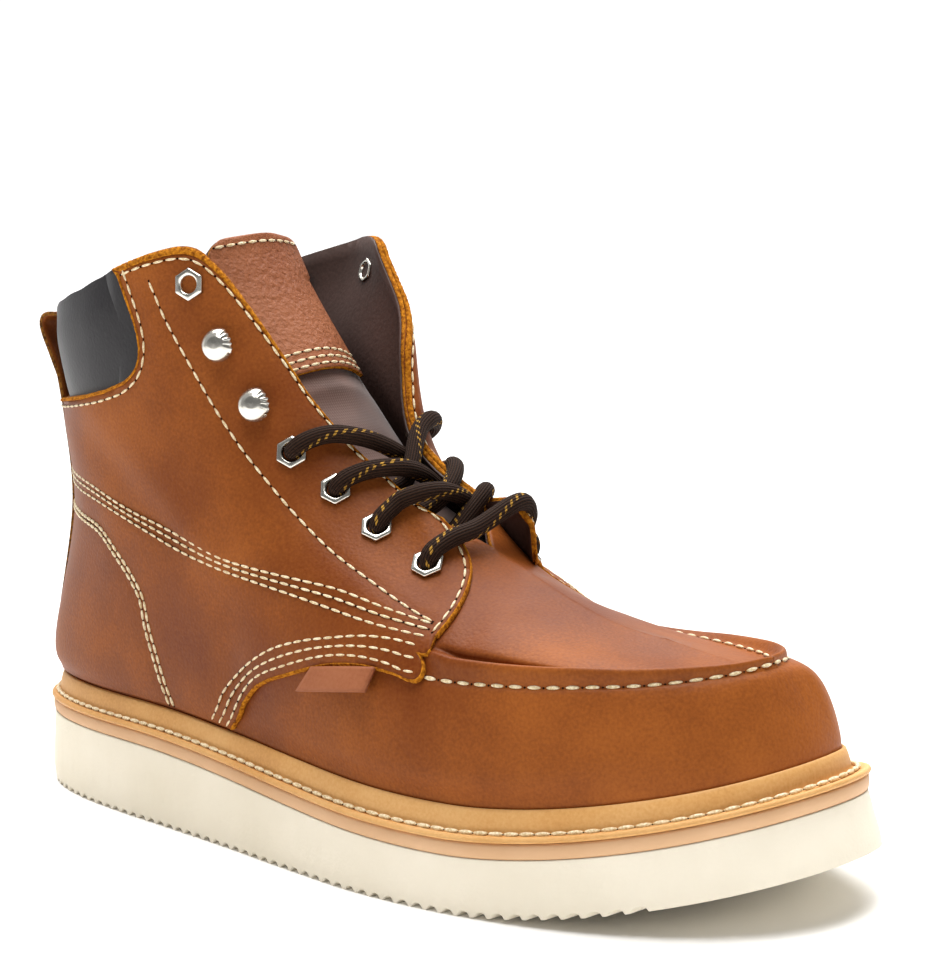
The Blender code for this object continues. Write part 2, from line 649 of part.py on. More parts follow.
def make_back_strip(mat, where):
    """Strip over the heel seam that leaves the upper as a pull loop."""
    spread = np.linspace(-1, 1, 5) * STRAP_HALF
    fine = np.linspace(0, 2.6, 53)
    outer = []
    inner = []
    for v in np.array([0.145, 0.22, 0.32, 0.44, 0.55, 0.66, 0.79]):
        line = skin(-1, fine, np.full(len(fine), v))
        rows = np.interp(np.abs(spread), -line[:, 1], fine)
        p = np.array([skin(-1 if y <= 0 else 1, r, v) for y, r in zip(spread, rows)])
        n = np.array([skin_normal(-1 if y <= 0 else 1, r, v) for y, r in zip(spread, rows)])
        n[2] = n[2] * (1, 0, 1) / np.linalg.norm(n[2] * (1, 0, 1))
        outer.append(p + n * (OVERLAY_STEP + STRAP_SEAT + STRAP_THICK))
        inner.append(p + n * (OVERLAY_STEP + STRAP_SEAT))
    t = np.gradient(LOOP[:, :2], axis=0)
    t /= np.linalg.norm(t, axis=1, keepdims=True)
    for (x, z, bow), (tx, tz) in zip(LOOP, t):
        facing = np.array([-tz, 0, tx])
        p = np.array([(x, y, z) for y in spread])
        p -= facing * (bow * (spread / STRAP_HALF) ** 2)[:, None]
        outer.append(p)
        inner.append(p - facing * STRAP_THICK)
    return grid_solid("back_strip", np.array(outer), np.array(inner), mat, where)


def tongue_grid(index, lift):
    """Face of the tongue over some rows of its table, lifted off it."""
    t = np.gradient(TONGUE[:, :2], axis=0)[index]
    t /= np.linalg.norm(t, axis=1, keepdims=True)
    k = np.linspace(-1, 1, 7)
    rows = []
    for (x, z, half, sag), (tx, tz) in zip(TONGUE[index], t):
        facing = np.array([tz, 0, -tx])
        rows.append(np.array([(x, half * c, z) for c in k]) + facing * (lift - sag * k ** 2)[:, None])
    return np.array(rows)


def make_tongue(mat, patch_mat, where):
    rows = np.arange(len(TONGUE))
    grid_solid("tongue", tongue_grid(rows, 0), tongue_grid(rows, -TONGUE_THICK), mat, where)
    rows = rows[PATCH_FROM:]
    grid_solid("tongue_patch", tongue_grid(rows, GAP + PATCH_THICK), tongue_grid(rows, GAP), patch_mat, where)


def make_eyelets(mat, where):
    count = 12
    hexagon = lambda t: np.cos(np.pi / 6) / np.cos((t % (np.pi / 3)) - np.pi / 6)
    top = EYELET_THICK
    profile = [(EYELET_REACH, 0.0), (EYELET_REACH, 0.6 * top), (EYELET_REACH - 0.9, top), (EYELET_HOLE, 0.8 * top),
               (EYELET_HOLE, -BARREL_DEPTH), (BARREL_RADIUS, -BARREL_DEPTH), (BARREL_RADIUS, 0.0)]
    m = len(profile)
    for name, side in (("outer", -1), ("inner", 1)):
        for i, (row, v, seat) in enumerate(EYELETS):
            verts = turned(profile, eyelet_frame(side, row, v), count, OVERLAY_STEP + seat, hexagon)
            faces = [[j * count + k, j * count + (k + 1) % count, (j + 1) % m * count + (k + 1) % count,
                      (j + 1) % m * count + k] for j in range(m) for k in range(count)]
            solid(f"eyelet_{name}_{i + 1}", verts, faces, mat, where)


def make_hooks(mat, where):
    """Domed hooks, each a profile turned about its stem."""
    for name, side in (("outer", -1), ("inner", 1)):
        for i, (row, v, seat) in enumerate(HOOKS):
            mesh = bpy.data.meshes.new(f"hook_{name}_{i + 1}")
            steps = [(k, k + 1) for k in range(len(HOOK_PROFILE) - 1)]
            mesh.from_pydata([(r * MM, 0, h * MM) for r, h in HOOK_PROFILE], steps, [])
            mesh.materials.append(mat)
            o = bpy.data.objects.new(mesh.name, mesh)
            where.objects.link(o)
            turn = o.modifiers.new("turn", "SCREW")
            turn.steps = 10
            turn.render_steps = 10
            turn.use_merge_vertices = True
            turn.merge_threshold = 0.00001
            turn.use_normal_flip = True
            p, a, b, n = eyelet_frame(side, row, v)
            place = Matrix.Translation((p + n * (OVERLAY_STEP + seat)) * MM)
            o.matrix_world = place @ Matrix((a, b, n)).transposed().to_4x4()


def cord(name, path, radius, mat, where):
    """Round cord along a path."""
    data = bpy.data.curves.new(name, "CURVE")
    data.dimensions = "3D"
    data.bevel_depth = radius * MM
    data.bevel_resolution = 2
    data.use_fill_caps = True
    data.materials.append(mat)
    spline = data.splines.new("POLY")
    spline.points.add(len(path) - 1)
    for point, p in zip(spline.points, path):
        point.co = (*(p * MM), 1.0)
    where.objects.link(bpy.data.objects.new(name, data))


def make_lace(mat, where):
    """A bar of lace from eyelet to eyelet over both facing edges, one to each laced row."""
    clear = OVERLAY_STEP + LACE_RADIUS + 0.8
    for i, (row, v, seat) in enumerate(EYELETS[:4]):
        path = []
        for side in (-1, 1):
            reach = ((row, v + 0.012, clear + EYELET_THICK + seat), (row + 0.2, 0.90, clear + 2.0),
                     (row + 0.35, 0.985, clear + 1.8))
            half = [skin(side, r, h) + skin_normal(side, r, h) * lift for r, h, lift in reach]
            path += half if side < 0 else half[::-1]
        path = np.array(path)
        middle = (path[2] + path[3]) / 2 - np.array([0.9, 0, 1.2])
        path = np.insert(path, 3, middle, axis=0)
        smooth = hermite(np.arange(7), path, np.linspace(0, 6, 9))
        cord(f"lace_bar_{i + 1}", smooth, LACE_RADIUS, mat, where)


def make_tab(mat, where):
    a, b, c, d = TAB
    grids = []
    for lift in (OVERLAY_STEP + GAP + TAB_THICK, OVERLAY_STEP + GAP):
        rows = []
        for t in np.linspace(0, 1, 5):
            line = []
            for q in (a + (b - a) * t, d + (c - d) * t):
                line.append(skin(-1, q[0], q[1]) + skin_normal(-1, q[0], q[1]) * lift)
            rows.append(line)
        grids.append(np.array(rows))
    grid_solid("side_tab", grids[0], grids[1], mat, where)


def settle(where):
    """Put the middle of the bounding box over the origin, with the tread on the floor."""
    bpy.context.view_layer.update()
    corners = np.array([o.matrix_world @ Vector(c) for o in where.objects for c in o.bound_box])
    low, high = corners.min(0), corners.max(0)
    shift = Vector((-(low[0] + high[0]) / 2, -(low[1] + high[1]) / 2, -low[2]))
    for o in where.objects:
        o.location += shift


def main():
    clear_scene()
    parts = collection("work_boot")
    tools = collection("cutters")
    make_outsole(material("sole_rubber", (0.80, 0.74, 0.60), 0.65), parts)
    make_midsole(material("midsole_tan", (0.52, 0.32, 0.18), 0.6), parts)
    make_welt(material("welt_tan", (0.56, 0.31, 0.12), 0.55), parts)
    make_insole(material("insole_board", (0.08, 0.045, 0.03), 0.8), parts)
    make_upper(material("upper_leather", (0.27, 0.085, 0.025), 0.45), parts, tools)
    make_collar_pad(material("collar_vinyl", (0.04, 0.037, 0.04), 0.4), parts, tools)
    make_back_strip(material("strip_leather", (0.24, 0.08, 0.022), 0.5), parts)
    make_tongue(material("tongue_cloth", (0.07, 0.04, 0.03), 0.7),
                material("patch_leather", (0.36, 0.125, 0.05), 0.5), parts)
    make_eyelets(material("eyelet_nickel", (0.75, 0.74, 0.72), 0.25, 1.0), parts)
    make_hooks(material("hook_nickel", (0.75, 0.74, 0.72), 0.2, 1.0), parts)
    make_lace(material("lace_braid", (0.04, 0.025, 0.015), 0.8), parts)
    make_tab(material("tab_leather", (0.29, 0.09, 0.03), 0.5), parts)
    settle(parts)


main()
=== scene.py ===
import math
import bmesh
import bpy
import numpy as np
from mathutils import Matrix, Vector
from mathutils.kdtree import KDTree


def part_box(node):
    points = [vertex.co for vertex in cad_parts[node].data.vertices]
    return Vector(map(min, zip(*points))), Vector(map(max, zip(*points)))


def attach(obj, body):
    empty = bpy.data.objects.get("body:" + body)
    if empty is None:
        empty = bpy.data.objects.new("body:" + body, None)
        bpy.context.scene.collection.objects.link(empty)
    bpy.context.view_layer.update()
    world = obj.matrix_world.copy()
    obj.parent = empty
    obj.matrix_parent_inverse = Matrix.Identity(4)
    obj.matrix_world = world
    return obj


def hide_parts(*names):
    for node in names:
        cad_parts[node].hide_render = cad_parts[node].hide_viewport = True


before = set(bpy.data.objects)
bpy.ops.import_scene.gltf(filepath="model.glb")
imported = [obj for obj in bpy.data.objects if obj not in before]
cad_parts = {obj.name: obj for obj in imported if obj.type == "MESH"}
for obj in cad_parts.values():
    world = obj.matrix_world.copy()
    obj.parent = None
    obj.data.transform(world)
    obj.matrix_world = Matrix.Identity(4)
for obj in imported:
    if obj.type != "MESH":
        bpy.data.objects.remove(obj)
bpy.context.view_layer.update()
mm = 0.001

# The boot's own millimetres: x from the back of the heel, y to the inner side, z up from the floor
soleLow, soleHigh = (np.array(c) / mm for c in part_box("outsole"))
bootZero = np.array([soleLow[0] - 0.08, (soleLow[1] + soleHigh[1]) / 2 - 0.83, soleLow[2]])
soleLength = 306.5
print("frame loaded")


def smoothTable(xs, ys, x):
    xs, ys = np.asarray(xs, float), np.asarray(ys, float)
    x = np.clip(np.asarray(x, float), xs[0], xs[-1])
    slope = np.gradient(ys, xs, axis=0)
    k = np.clip(np.searchsorted(xs, x, side="right") - 1, 0, len(xs) - 2)
    h = xs[k + 1] - xs[k]
    t = (x - xs[k]) / h
    if ys.ndim > 1:
        h, t = h[..., None], t[..., None]
    start = (1 + 2 * t) * (1 - t) ** 2 * ys[k] + t * (1 - t) ** 2 * h * slope[k]
    return start + t * t * (3 - 2 * t) * ys[k + 1] + t * t * (t - 1) * h * slope[k + 1]


def ease(a, b, x):
    t = np.clip((np.asarray(x, float) - a) / (b - a), 0, 1)
    return t * t * (3 - 2 * t)


def unit(p):
    return p / np.maximum(np.linalg.norm(p, axis=-1, keepdims=True), 1e-9)


def runLength(line):
    # length along a line, at each of its points
    return np.concatenate([[0], np.cumsum(np.linalg.norm(np.diff(line, axis=0), axis=1))])


def alongTable(q, length, values):
    # straight steps between the points of a table
    return np.stack([np.interp(q, length, values[:, i]) for i in range(values.shape[1])], -1)


# Form of the sole and the last, as in the part's source
form = dict(
    heelThick=23.3, ballThick=15.6, toeSpring=16.5, springStart=214.0, midsole=4.5, weltThick=1.8,
    lip=6.5, gap=0.35, feather=7.2, toeInset=3.4, step=1.5, ridge=2.5, slotRow=14,
)
# station from heel to toe, outer edge y, inner edge y
outlineTable = np.array([
    (0.0000, 0.0, 0.0), (0.0625, -12.6, 12.6), (0.1250, -24.8, 24.8), (0.1875, -33.7, 33.4),
    (0.2500, -39.6, 37.4), (0.3125, -43.1, 37.7), (0.3750, -45.6, 36.2), (0.4375, -48.6, 36.8),
    (0.5000, -52.4, 42.2), (0.5625, -55.3, 50.4), (0.6250, -54.2, 56.6), (0.6875, -49.5, 56.0),
    (0.7500, -41.7, 51.4), (0.8125, -31.1, 44.8), (0.8750, -18.4, 36.4), (0.9375, -4.0, 25.5),
    (1.0000, 11.5, 11.5),
])
# foot station, sideways shift, inner drop, swell and its height, then x y z of instep, middle and top
sectionTable = np.array([
    (0.000, 0.0, 0.0, 2.4, 17, 13.4, 0.0, 92.0, 12.2, 0.0, 122.0, 7.6, 0.0, 152.0),
    (0.092, 0.0, 0.0, 2.2, 17, 21.8, 15.8, 91.8, 19.8, 17.0, 123.5, 15.6, 18.8, 154.5),
    (0.175, -0.3, 0.0, 1.8, 17, 38.2, 27.0, 91.0, 36.0, 28.6, 126.0, 32.6, 31.6, 159.0),
    (0.265, -0.8, 0.0, 1.6, 17, 58.0, 33.6, 90.0, 55.0, 35.2, 129.0, 52.5, 37.6, 164.0),
    (0.335, -1.5, 0.0, 1.4, 17, 77.0, 36.4, 88.0, 73.5, 37.4, 132.0, 73.0, 38.6, 170.5),
    (0.388, -2.0, 0.0, 1.3, 17, 95.5, 37.8, 86.0, 90.0, 37.4, 134.0, 90.0, 36.6, 175.5),
    (0.427, -2.4, 0.0, 1.2, 17, 112.0, 38.6, 84.0, 104.0, 35.6, 132.0, 102.5, 32.0, 177.0),
    (0.460, -2.6, 0.0, 1.2, 17, 126.5, 39.3, 82.0, 117.5, 33.4, 125.5, 110.3, 27.6, 170.5),
    (0.488, -2.6, 0.0, 1.2, 17, 140.0, 39.8, 80.0, 129.5, 30.9, 117.0, 119.0, 24.4, 159.5),
    (0.515, -2.2, -0.6, 1.2, 17, 152.5, 40.2, 78.0, 140.5, 28.6, 109.0, 127.0, 21.6, 147.5),
    (0.541, -1.6, -1.2, 1.3, 17, 164.5, 40.4, 75.6, 151.5, 26.2, 102.0, 135.6, 18.2, 133.0),
    (0.567, -1.0, -1.9, 1.4, 17, 176.0, 40.5, 73.0, 163.0, 24.0, 95.8, 146.5, 14.0, 119.5),
    (0.593, -0.4, -2.6, 1.4, 17, 187.5, 40.4, 70.2, 175.5, 22.2, 89.6, 160.5, 11.8, 109.2),
    (0.619, 0.0, -3.3, 1.4, 17, 198.8, 40.0, 67.4, 188.0, 21.2, 84.6, 177.0, 11.4, 99.6),
    (0.646, 0.0, -3.8, 1.2, 17, 210.3, 39.2, 65.6, 200.0, 20.2, 80.2, 190.5, 0.0, 89.4),
    (0.676, 0.2, -3.8, 1.0, 17, 222.5, 37.8, 65.2, 211.5, 19.4, 76.8, 203.0, 0.0, 84.0),
    (0.708, 0.6, -3.3, 0.4, 17.8, 234.6, 35.4, 65.2, 222.6, 18.4, 74.1, 214.5, 0.0, 79.6),
    (0.744, 1.5, -2.6, -0.7, 19.6, 246.9, 32.1, 65.4, 233.3, 16.8, 72.0, 225.0, 0.0, 76.4),
    (0.786, 2.6, -1.7, -2.3, 21.1, 258.8, 27.2, 65.3, 243.7, 14.4, 70.4, 234.0, 0.0, 74.2),
    (0.838, 4.0, -0.9, -4.3, 23.2, 269.3, 20.3, 65.3, 252.6, 10.8, 69.1, 241.5, 0.0, 72.8),
    (0.908, 5.5, -0.3, -5.8, 24.2, 277.2, 11.2, 65.2, 259.3, 5.8, 68.5, 247.0, 0.0, 72.0),
    (1.000, 6.2, 0.0, -6.2, 23.2, 280.2, 0.0, 65.3, 262.3, 0.0, 68.8, 250.0, 0.0, 71.7),
])
heightKnots = np.array([0.0, 0.09, 0.30, 0.55, 0.78, 1.0])


def soleEdge(station, side, inset=0.0):
    s, inset = np.broadcast_arrays(np.asarray(station, float), np.asarray(inset, float))

    def onEdge(q):
        q = np.clip(q, 0, 1)
        y = smoothTable(outlineTable[:, 0], outlineTable[:, 1 if side < 0 else 2], q)
        return np.stack([soleLength / 2 * (1 - np.cos(np.pi * q)), y], -1)

    along = onEdge(s + 0.004) - onEdge(s - 0.004)
    along[..., 0] = np.where((s < 0.004) | (s > 0.996), 0.0, along[..., 0])
    along = unit(along)
    inward = np.stack([-along[..., 1], along[..., 0]], -1) * (1 if side < 0 else -1)
    return onEdge(s) + inward * inset[..., None]


def soleBottom(x):
    ahead = (x - form["springStart"]) / (soleLength - form["springStart"])
    return form["toeSpring"] * np.clip(ahead, 0, None) ** 1.7


def outsoleTop(x):
    return soleBottom(x) + form["heelThick"] + (form["ballThick"] - form["heelThick"]) * ease(70, 210, x)


def weltTop(x):
    return outsoleTop(x) + form["midsole"] + form["weltThick"]


def draft(station):
    return 1.6 * (1 - ease(0.0, 0.16, station)) + 2.8 * ease(0.78, 0.96, station)


def featherInset(station):
    inset = form["feather"] - 2.0 * (1 - ease(0.0, 0.26, station))
    return inset + form["toeInset"] * ease(0.80, 1.0, station) + draft(station)


def sectionKnots(side, row):
    t = smoothTable(np.arange(len(sectionTable)), sectionTable, row)
    station = np.clip(t[..., 0], 0, 1)
    inset = featherInset(station)
    foot, lip = soleEdge(station, side, inset + 0.6), soleEdge(station, side, inset)
    swell = soleEdge(station, side, inset - t[..., 3])
    zFoot = weltTop(foot[..., 0]) + form["gap"]
    drop = t[..., 2] * (side > 0)
    shift = t[..., 1]
    rows = [
        np.concatenate([foot, zFoot[..., None]], -1),
        np.concatenate([lip, (zFoot + form["lip"])[..., None]], -1),
        np.concatenate([swell, (zFoot + t[..., 4])[..., None]], -1),
        np.stack([t[..., 5], side * t[..., 6] + shift, t[..., 7] + drop], -1),
        np.stack([t[..., 8], side * t[..., 9] + 0.7 * shift, t[..., 10] + drop], -1),
        np.stack([t[..., 11], side * np.maximum(t[..., 12], 0) + 0.4 * shift, t[..., 13]], -1),
    ]
    return np.stack(rows, -2)


def skin(side, row, v):
    # outer face of the last: section row from heel to toe, height on the section from 0 to 1
    row, v = np.broadcast_arrays(np.asarray(row, float), np.asarray(v, float))
    k = sectionKnots(side, row)
    slope = np.gradient(k, heightKnots, axis=-2)
    i = np.clip(np.searchsorted(heightKnots, v, side="right") - 1, 0, 4)
    h = (heightKnots[i + 1] - heightKnots[i])[..., None]
    t = (v - heightKnots[i])[..., None] / h
    take = lambda a, j: np.take_along_axis(a, j[..., None, None], -2)[..., 0, :]
    p = (1 + 2 * t) * (1 - t) ** 2 * take(k, i) + t * (1 - t) ** 2 * h * take(slope, i)
    return p + t * t * (3 - 2 * t) * take(k, i + 1) + t * t * (t - 1) * h * take(slope, i + 1)


def skinNormal(side, row, v):
    row, v = np.broadcast_arrays(np.asarray(row, float), np.asarray(v, float))
    top = len(sectionTable) - 1
    du = skin(side, np.clip(row + 0.02, 0, top), v) - skin(side, np.clip(row - 0.02, 0, top), v)
    dv = skin(side, row, np.clip(v + 0.01, 0, 1)) - skin(side, row, np.clip(v - 0.01, 0, 1))
    n = np.cross(du, dv) * -side
    n[..., 1] = np.where((row < 1e-6) | (row > top - 1e-6), 0, n[..., 1])
    n[..., 1] = np.where((v > 0.9999) & (row >= form["slotRow"]), 0, n[..., 1])
    # rows and heights run the same way at the end of the plug's middle line
    flat = (ease(19.2, 20.6, row) * ease(0.84, 0.95, v))[..., None]
    return unit(unit(n) * (1 - flat) + np.array([0.12, 0.0, 0.99]) * flat)


# Millimetres the inner facing leans open, stands off and is skived, rows its edge lies back, dish of the plug
shapes = dict(lean=11.0, stand=8.5, skive=1.15, back=0.55, dish=2.4)


def onSkin(side, row, v, lift):
    # the plug of the moc toe is dished behind its seam
    p = skin(side, row, v) + skinNormal(side, row, v) * np.asarray(lift, float)[..., None]
    p[..., 2] -= shapes["dish"] * ease(0.556, 0.60, v) * ease(14.5, 18.5, row)
    return p


def onEither(side, row, v, lift):
    # each point on its own side of the last
    return np.where((side < 0)[:, None], onSkin(-1, row, v, lift), onSkin(1, row, v, lift))


# Nodes and colours
def setInputs(tree, node, inputs):
    # a node given as a value stands for its first output
    for socket, value in inputs.items():
        if isinstance(value, bpy.types.Node):
            value = value.outputs[0]
        if isinstance(value, bpy.types.NodeSocket):
            tree.links.new(value, node.inputs[socket])
        else:
            node.inputs[socket].default_value = value


def addNode(tree, kind, inputs=None, stops=None, **settings):
    node = tree.nodes.new("ShaderNode" + kind)
    for key, value in settings.items():
        setattr(node, key, value)
    setInputs(tree, node, inputs or {})
    for i, (position, colour) in enumerate(stops or []):
        bar = node.color_ramp.elements
        element = bar[i] if i < len(bar) else bar.new(position)
        element.position = position
        element.color = linear(colour)
    return node


def linear(hexColour):
    rgb = [int(hexColour[i:i + 2], 16) / 255 for i in (1, 3, 5)]
    return tuple(c / 12.92 if c <= 0.04045 else ((c + 0.055) / 1.055) ** 2.4 for c in rgb) + (1.0,)


def newMaterial(name, **sockets):
    mat = bpy.data.materials.new(name)
    mat.use_nodes = True
    tree = mat.node_tree
    shader = tree.nodes["Principled BSDF"]
    for socket, value in sockets.items():
        shader.inputs[socket.replace("_", " ")].default_value = value
    return mat, tree, shader


def leatherMaterial(name, dark, mid, light, grain=0.9, rough=(0.36, 0.50), depth=0.05, coat=0.12, level=0.35,
                    pale=0.0):
    # oiled full-grain cowhide, drum dyed: warm cloudy colour, fine pores, a soft waxy sheen
    mat, tree, shader = newMaterial(name, Coat_Weight=coat, Coat_Roughness=0.38, Specular_IOR_Level=level)
    place = addNode(tree, "TexCoord").outputs["Object"]
    cloud = addNode(tree, "TexNoise", {"Vector": place, "Scale": 1 / (46 * mm), "Detail": 3.0})
    fine = addNode(tree, "TexNoise", {"Vector": place, "Scale": 1 / (0.9 * mm), "Detail": 4.0})
    some = addNode(tree, "Math", {0: fine, 1: 0.3}, operation="MULTIPLY")
    both = addNode(tree, "Math", {0: cloud, 1: 0.7, 2: some}, operation="MULTIPLY_ADD")
    if pale:
        # paler towards the toe, chosen by the photograph's tones: part of it stands in for studio light
        split = addNode(tree, "SeparateXYZ", {"Vector": place})
        ahead = addNode(tree, "MapRange",
                        {"Value": split.outputs["X"], "From Min": 0.07, "From Max": 0.12, "To Min": 0.0,
                         "To Max": pale})
        both = addNode(tree, "Math", {0: both, 1: ahead}, operation="ADD")
    dye = addNode(tree, "ValToRGB", {"Fac": both}, [(0.34, dark), (0.50, mid), (0.72, light)])
    shine = addNode(tree, "MapRange", {"Value": cloud, "From Min": 0.3, "From Max": 0.7, "To Min": rough[0],
                                       "To Max": rough[1]})
    pores = addNode(tree, "TexVoronoi", {"Vector": place, "Scale": 1 / (grain * mm)}, feature="SMOOTH_F1")
    broad = addNode(tree, "Bump", {"Height": cloud, "Distance": 0.5 * mm})
    pits = addNode(tree, "Bump", {"Height": pores, "Distance": depth * mm, "Normal": broad})
    nap = addNode(tree, "Bump", {"Height": fine, "Distance": depth * mm, "Normal": pits})
    setInputs(tree, shader, {"Base Color": dye, "Roughness": shine, "Normal": nap})
    return mat


def rawEdgeMaterial(name, dark, light):
    # cut edge of the hide: dry, fibrous and lighter than the dyed face
    mat, tree, shader = newMaterial(name, Roughness=0.95, Specular_IOR_Level=0.1)
    place = addNode(tree, "TexCoord").outputs["Object"]
    fibre = addNode(tree, "TexNoise", {"Vector": place, "Scale": 1 / (1.1 * mm), "Detail": 6.0})
    dye = addNode(tree, "ValToRGB", {"Fac": fibre}, [(0.35, dark), (0.65, light)])
    fuzz = addNode(tree, "Bump", {"Height": fibre, "Distance": 0.5 * mm})
    setInputs(tree, shader, {"Base Color": dye, "Normal": fuzz})
    return mat


def threadMaterial(name, dark, light):
    # bonded nylon sewing thread: pale, slightly glossy, twisted
    mat, tree, shader = newMaterial(name, Roughness=0.5, Sheen_Weight=0.2)
    place = addNode(tree, "TexCoord").outputs["Object"]
    twist = addNode(tree, "TexNoise", {"Vector": place, "Scale": 1 / (0.7 * mm), "Detail": 3.0})
    dye = addNode(tree, "ValToRGB", {"Fac": twist}, [(0.38, dark), (0.62, light)])
    ply = addNode(tree, "Bump", {"Height": twist, "Distance": 0.15 * mm})
    setInputs(tree, shader, {"Base Color": dye, "Normal": ply})
    return mat


def rubberMaterial(name, dark, light, rough, depth):
    # expanded rubber, moulded: matt, faintly mottled, with a fine open skin
    mat, tree, shader = newMaterial(name, Roughness=rough, Specular_IOR_Level=0.35)
    place = addNode(tree, "TexCoord").outputs["Object"]
    cloud = addNode(tree, "TexNoise", {"Vector": place, "Scale": 1 / (45 * mm), "Detail": 4.0})
    dye = addNode(tree, "ValToRGB", {"Fac": cloud}, [(0.3, dark), (0.7, light)])
    cells = addNode(tree, "TexNoise", {"Vector": place, "Scale": 1 / (1.0 * mm), "Detail": 3.0})
    skinBump = addNode(tree, "Bump", {"Height": cells, "Distance": depth * mm})
    setInputs(tree, shader, {"Base Color": dye, "Normal": skinBump})
    return mat


def clothMaterial(name, dark, light, thread, depth=0.12, rough=0.8):
    # woven cloth, plain weave from two crossed waves
    mat, tree, shader = newMaterial(name, Roughness=rough, Sheen_Weight=0.25, Sheen_Roughness=0.5)
    place = addNode(tree, "TexCoord").outputs["Object"]
    across = {"Vector": place, "Scale": 1 / (6.3 * thread * mm), "Distortion": 0.4}
    warp = addNode(tree, "TexWave", across, bands_direction="Y")
    weft = addNode(tree, "TexWave", across, bands_direction="Z")
    weave = addNode(tree, "Math", {0: warp.outputs["Fac"], 1: weft.outputs["Fac"]}, operation="MULTIPLY")
    cloud = addNode(tree, "TexNoise", {"Vector": place, "Scale": 1 / (14 * mm), "Detail": 4.0})
    dye = addNode(tree, "ValToRGB", {"Fac": cloud}, [(0.3, dark), (0.7, light)])
    threads = addNode(tree, "Bump", {"Height": weave, "Distance": depth * mm})
    setInputs(tree, shader, {"Base Color": dye, "Normal": threads})
    return mat


def braidMaterial(name):
    # round braided cord: fine dark ribs along it and one winding line of paired gold dashes
    mat, tree, shader = newMaterial(name, Roughness=0.85, Specular_IOR_Level=0.12)
    uv = addNode(tree, "UVMap", uv_map="UVMap").outputs["UV"]
    parts = addNode(tree, "SeparateXYZ", {"Vector": uv})
    # u is the length in millimetres, v once round the cord
    count = addNode(tree, "Math", {0: parts.outputs["Y"], 1: 20.0}, operation="MULTIPLY")
    rib = addNode(tree, "Math", {0: count, 1: 0.5}, operation="PINGPONG")
    slope = addNode(tree, "Math", {0: parts.outputs["X"], 1: 1 / 1.1, 2: rib}, operation="MULTIPLY_ADD")
    strand = addNode(tree, "Math", {0: slope, 1: 0.5}, operation="PINGPONG")
    wind = addNode(tree, "Math", {0: parts.outputs["X"], 1: 1 / 62, 2: parts.outputs["Y"]},
                   operation="MULTIPLY_ADD")
    lane = addNode(tree, "Math", {0: wind, 1: 0.25}, operation="PINGPONG")
    inLane = addNode(tree, "MapRange", {"Value": lane, "From Min": 0.045, "From Max": 0.035})
    half = addNode(tree, "Math", {0: count, 1: 0.5, 2: parts.outputs["X"]},
                   operation="MULTIPLY_ADD")
    run = addNode(tree, "Math", {0: half, 1: 1.15}, operation="PINGPONG")
    inRun = addNode(tree, "MapRange", {"Value": run, "From Min": 0.50, "From Max": 0.36})
    crest = addNode(tree, "MapRange", {"Value": rib, "From Min": 0.08, "From Max": 0.22})
    fleck = addNode(tree, "Math", {0: inLane, 1: inRun}, operation="MULTIPLY")
    paired = addNode(tree, "Math", {0: fleck, 1: crest}, operation="MULTIPLY")
    dark = addNode(tree, "ValToRGB", {"Fac": rib}, [(0.0, "#130b07"), (0.5, "#3a261b")])
    dye = addNode(tree, "Mix", {"Factor": paired, "A": dark, "B": linear("#b88a38")}, data_type="RGBA")
    plait = addNode(tree, "Bump", {"Height": strand, "Distance": 0.2 * mm})
    ribs = addNode(tree, "Bump", {"Height": rib, "Distance": 0.5 * mm, "Normal": plait})
    setInputs(tree, shader, {"Base Color": dye.outputs[2], "Normal": ribs})
    return mat


def nickelMaterial(name):
    # nickel-plated pressed steel: bright, barely scratched
    mat, tree, shader = newMaterial(name, Metallic=1.0, Base_Color=linear("#d9d5cb"))
    place = addNode(tree, "TexCoord").outputs["Object"]
    scuff = addNode(tree, "TexNoise", {"Vector": place, "Scale": 1 / (1.5 * mm), "Detail": 4.0})
    rough = addNode(tree, "MapRange", {"Value": scuff, "To Min": 0.12, "To Max": 0.30})
    wear = addNode(tree, "Bump", {"Height": scuff, "Distance": 0.03 * mm})
    setInputs(tree, shader, {"Roughness": rough, "Normal": wear})
    return mat


def darkMaterial(name, dark, colour):
    # needle holes and the shade inside them: no gloss
    mat, tree, shader = newMaterial(name, Roughness=0.95, Specular_IOR_Level=0.1)
    place = addNode(tree, "TexCoord").outputs["Object"]
    speck = addNode(tree, "TexNoise", {"Vector": place, "Scale": 1 / (0.8 * mm)})
    dye = addNode(tree, "ValToRGB", {"Fac": speck}, [(0.3, dark), (0.7, colour)])
    setInputs(tree, shader, {"Base Color": dye})
    return mat


cowhide = leatherMaterial("oiledCowhide", "#6c3312", "#7f431b", "#a05a24", rough=(0.40, 0.52), depth=0.08,
                          coat=0.0, level=0.10, pale=0.15)
patchHide = leatherMaterial("milledCowhide", "#774027", "#915636", "#9f6341", grain=1.9, rough=(0.5, 0.62),
                            depth=0.46, coat=0.0, level=0.2)
tabHide = leatherMaterial("tabHide", "#844a2e", "#965a3b", "#a46847", rough=(0.5, 0.62), coat=0.0, level=0.15)
rawEdge = rawEdgeMaterial("cutHideEdge", "#7d430b", "#c8801f")
# the back strip's cut edge: the same raw edge made darker, painted shade on the strip's edge
shadedStripEdge = rawEdgeMaterial("stripCutEdgePaintedShade", "#4a2a10", "#8a5a22")
liningHide = leatherMaterial("liningSplit", "#35231c", "#47312a", "#58403a", grain=1.4, rough=(0.5, 0.65),
                             depth=0.08, coat=0.0)
padHide = leatherMaterial("collarHide", "#141114", "#1b181b", "#242124", grain=1.2, rough=(0.40, 0.52),
                          depth=0.05, coat=0.06, level=0.25)
creamThread = threadMaterial("bondedThread", "#ccb280", "#f1e2bf")
needleHole = darkMaterial("needleHole", "#0d0805", "#2a1608")
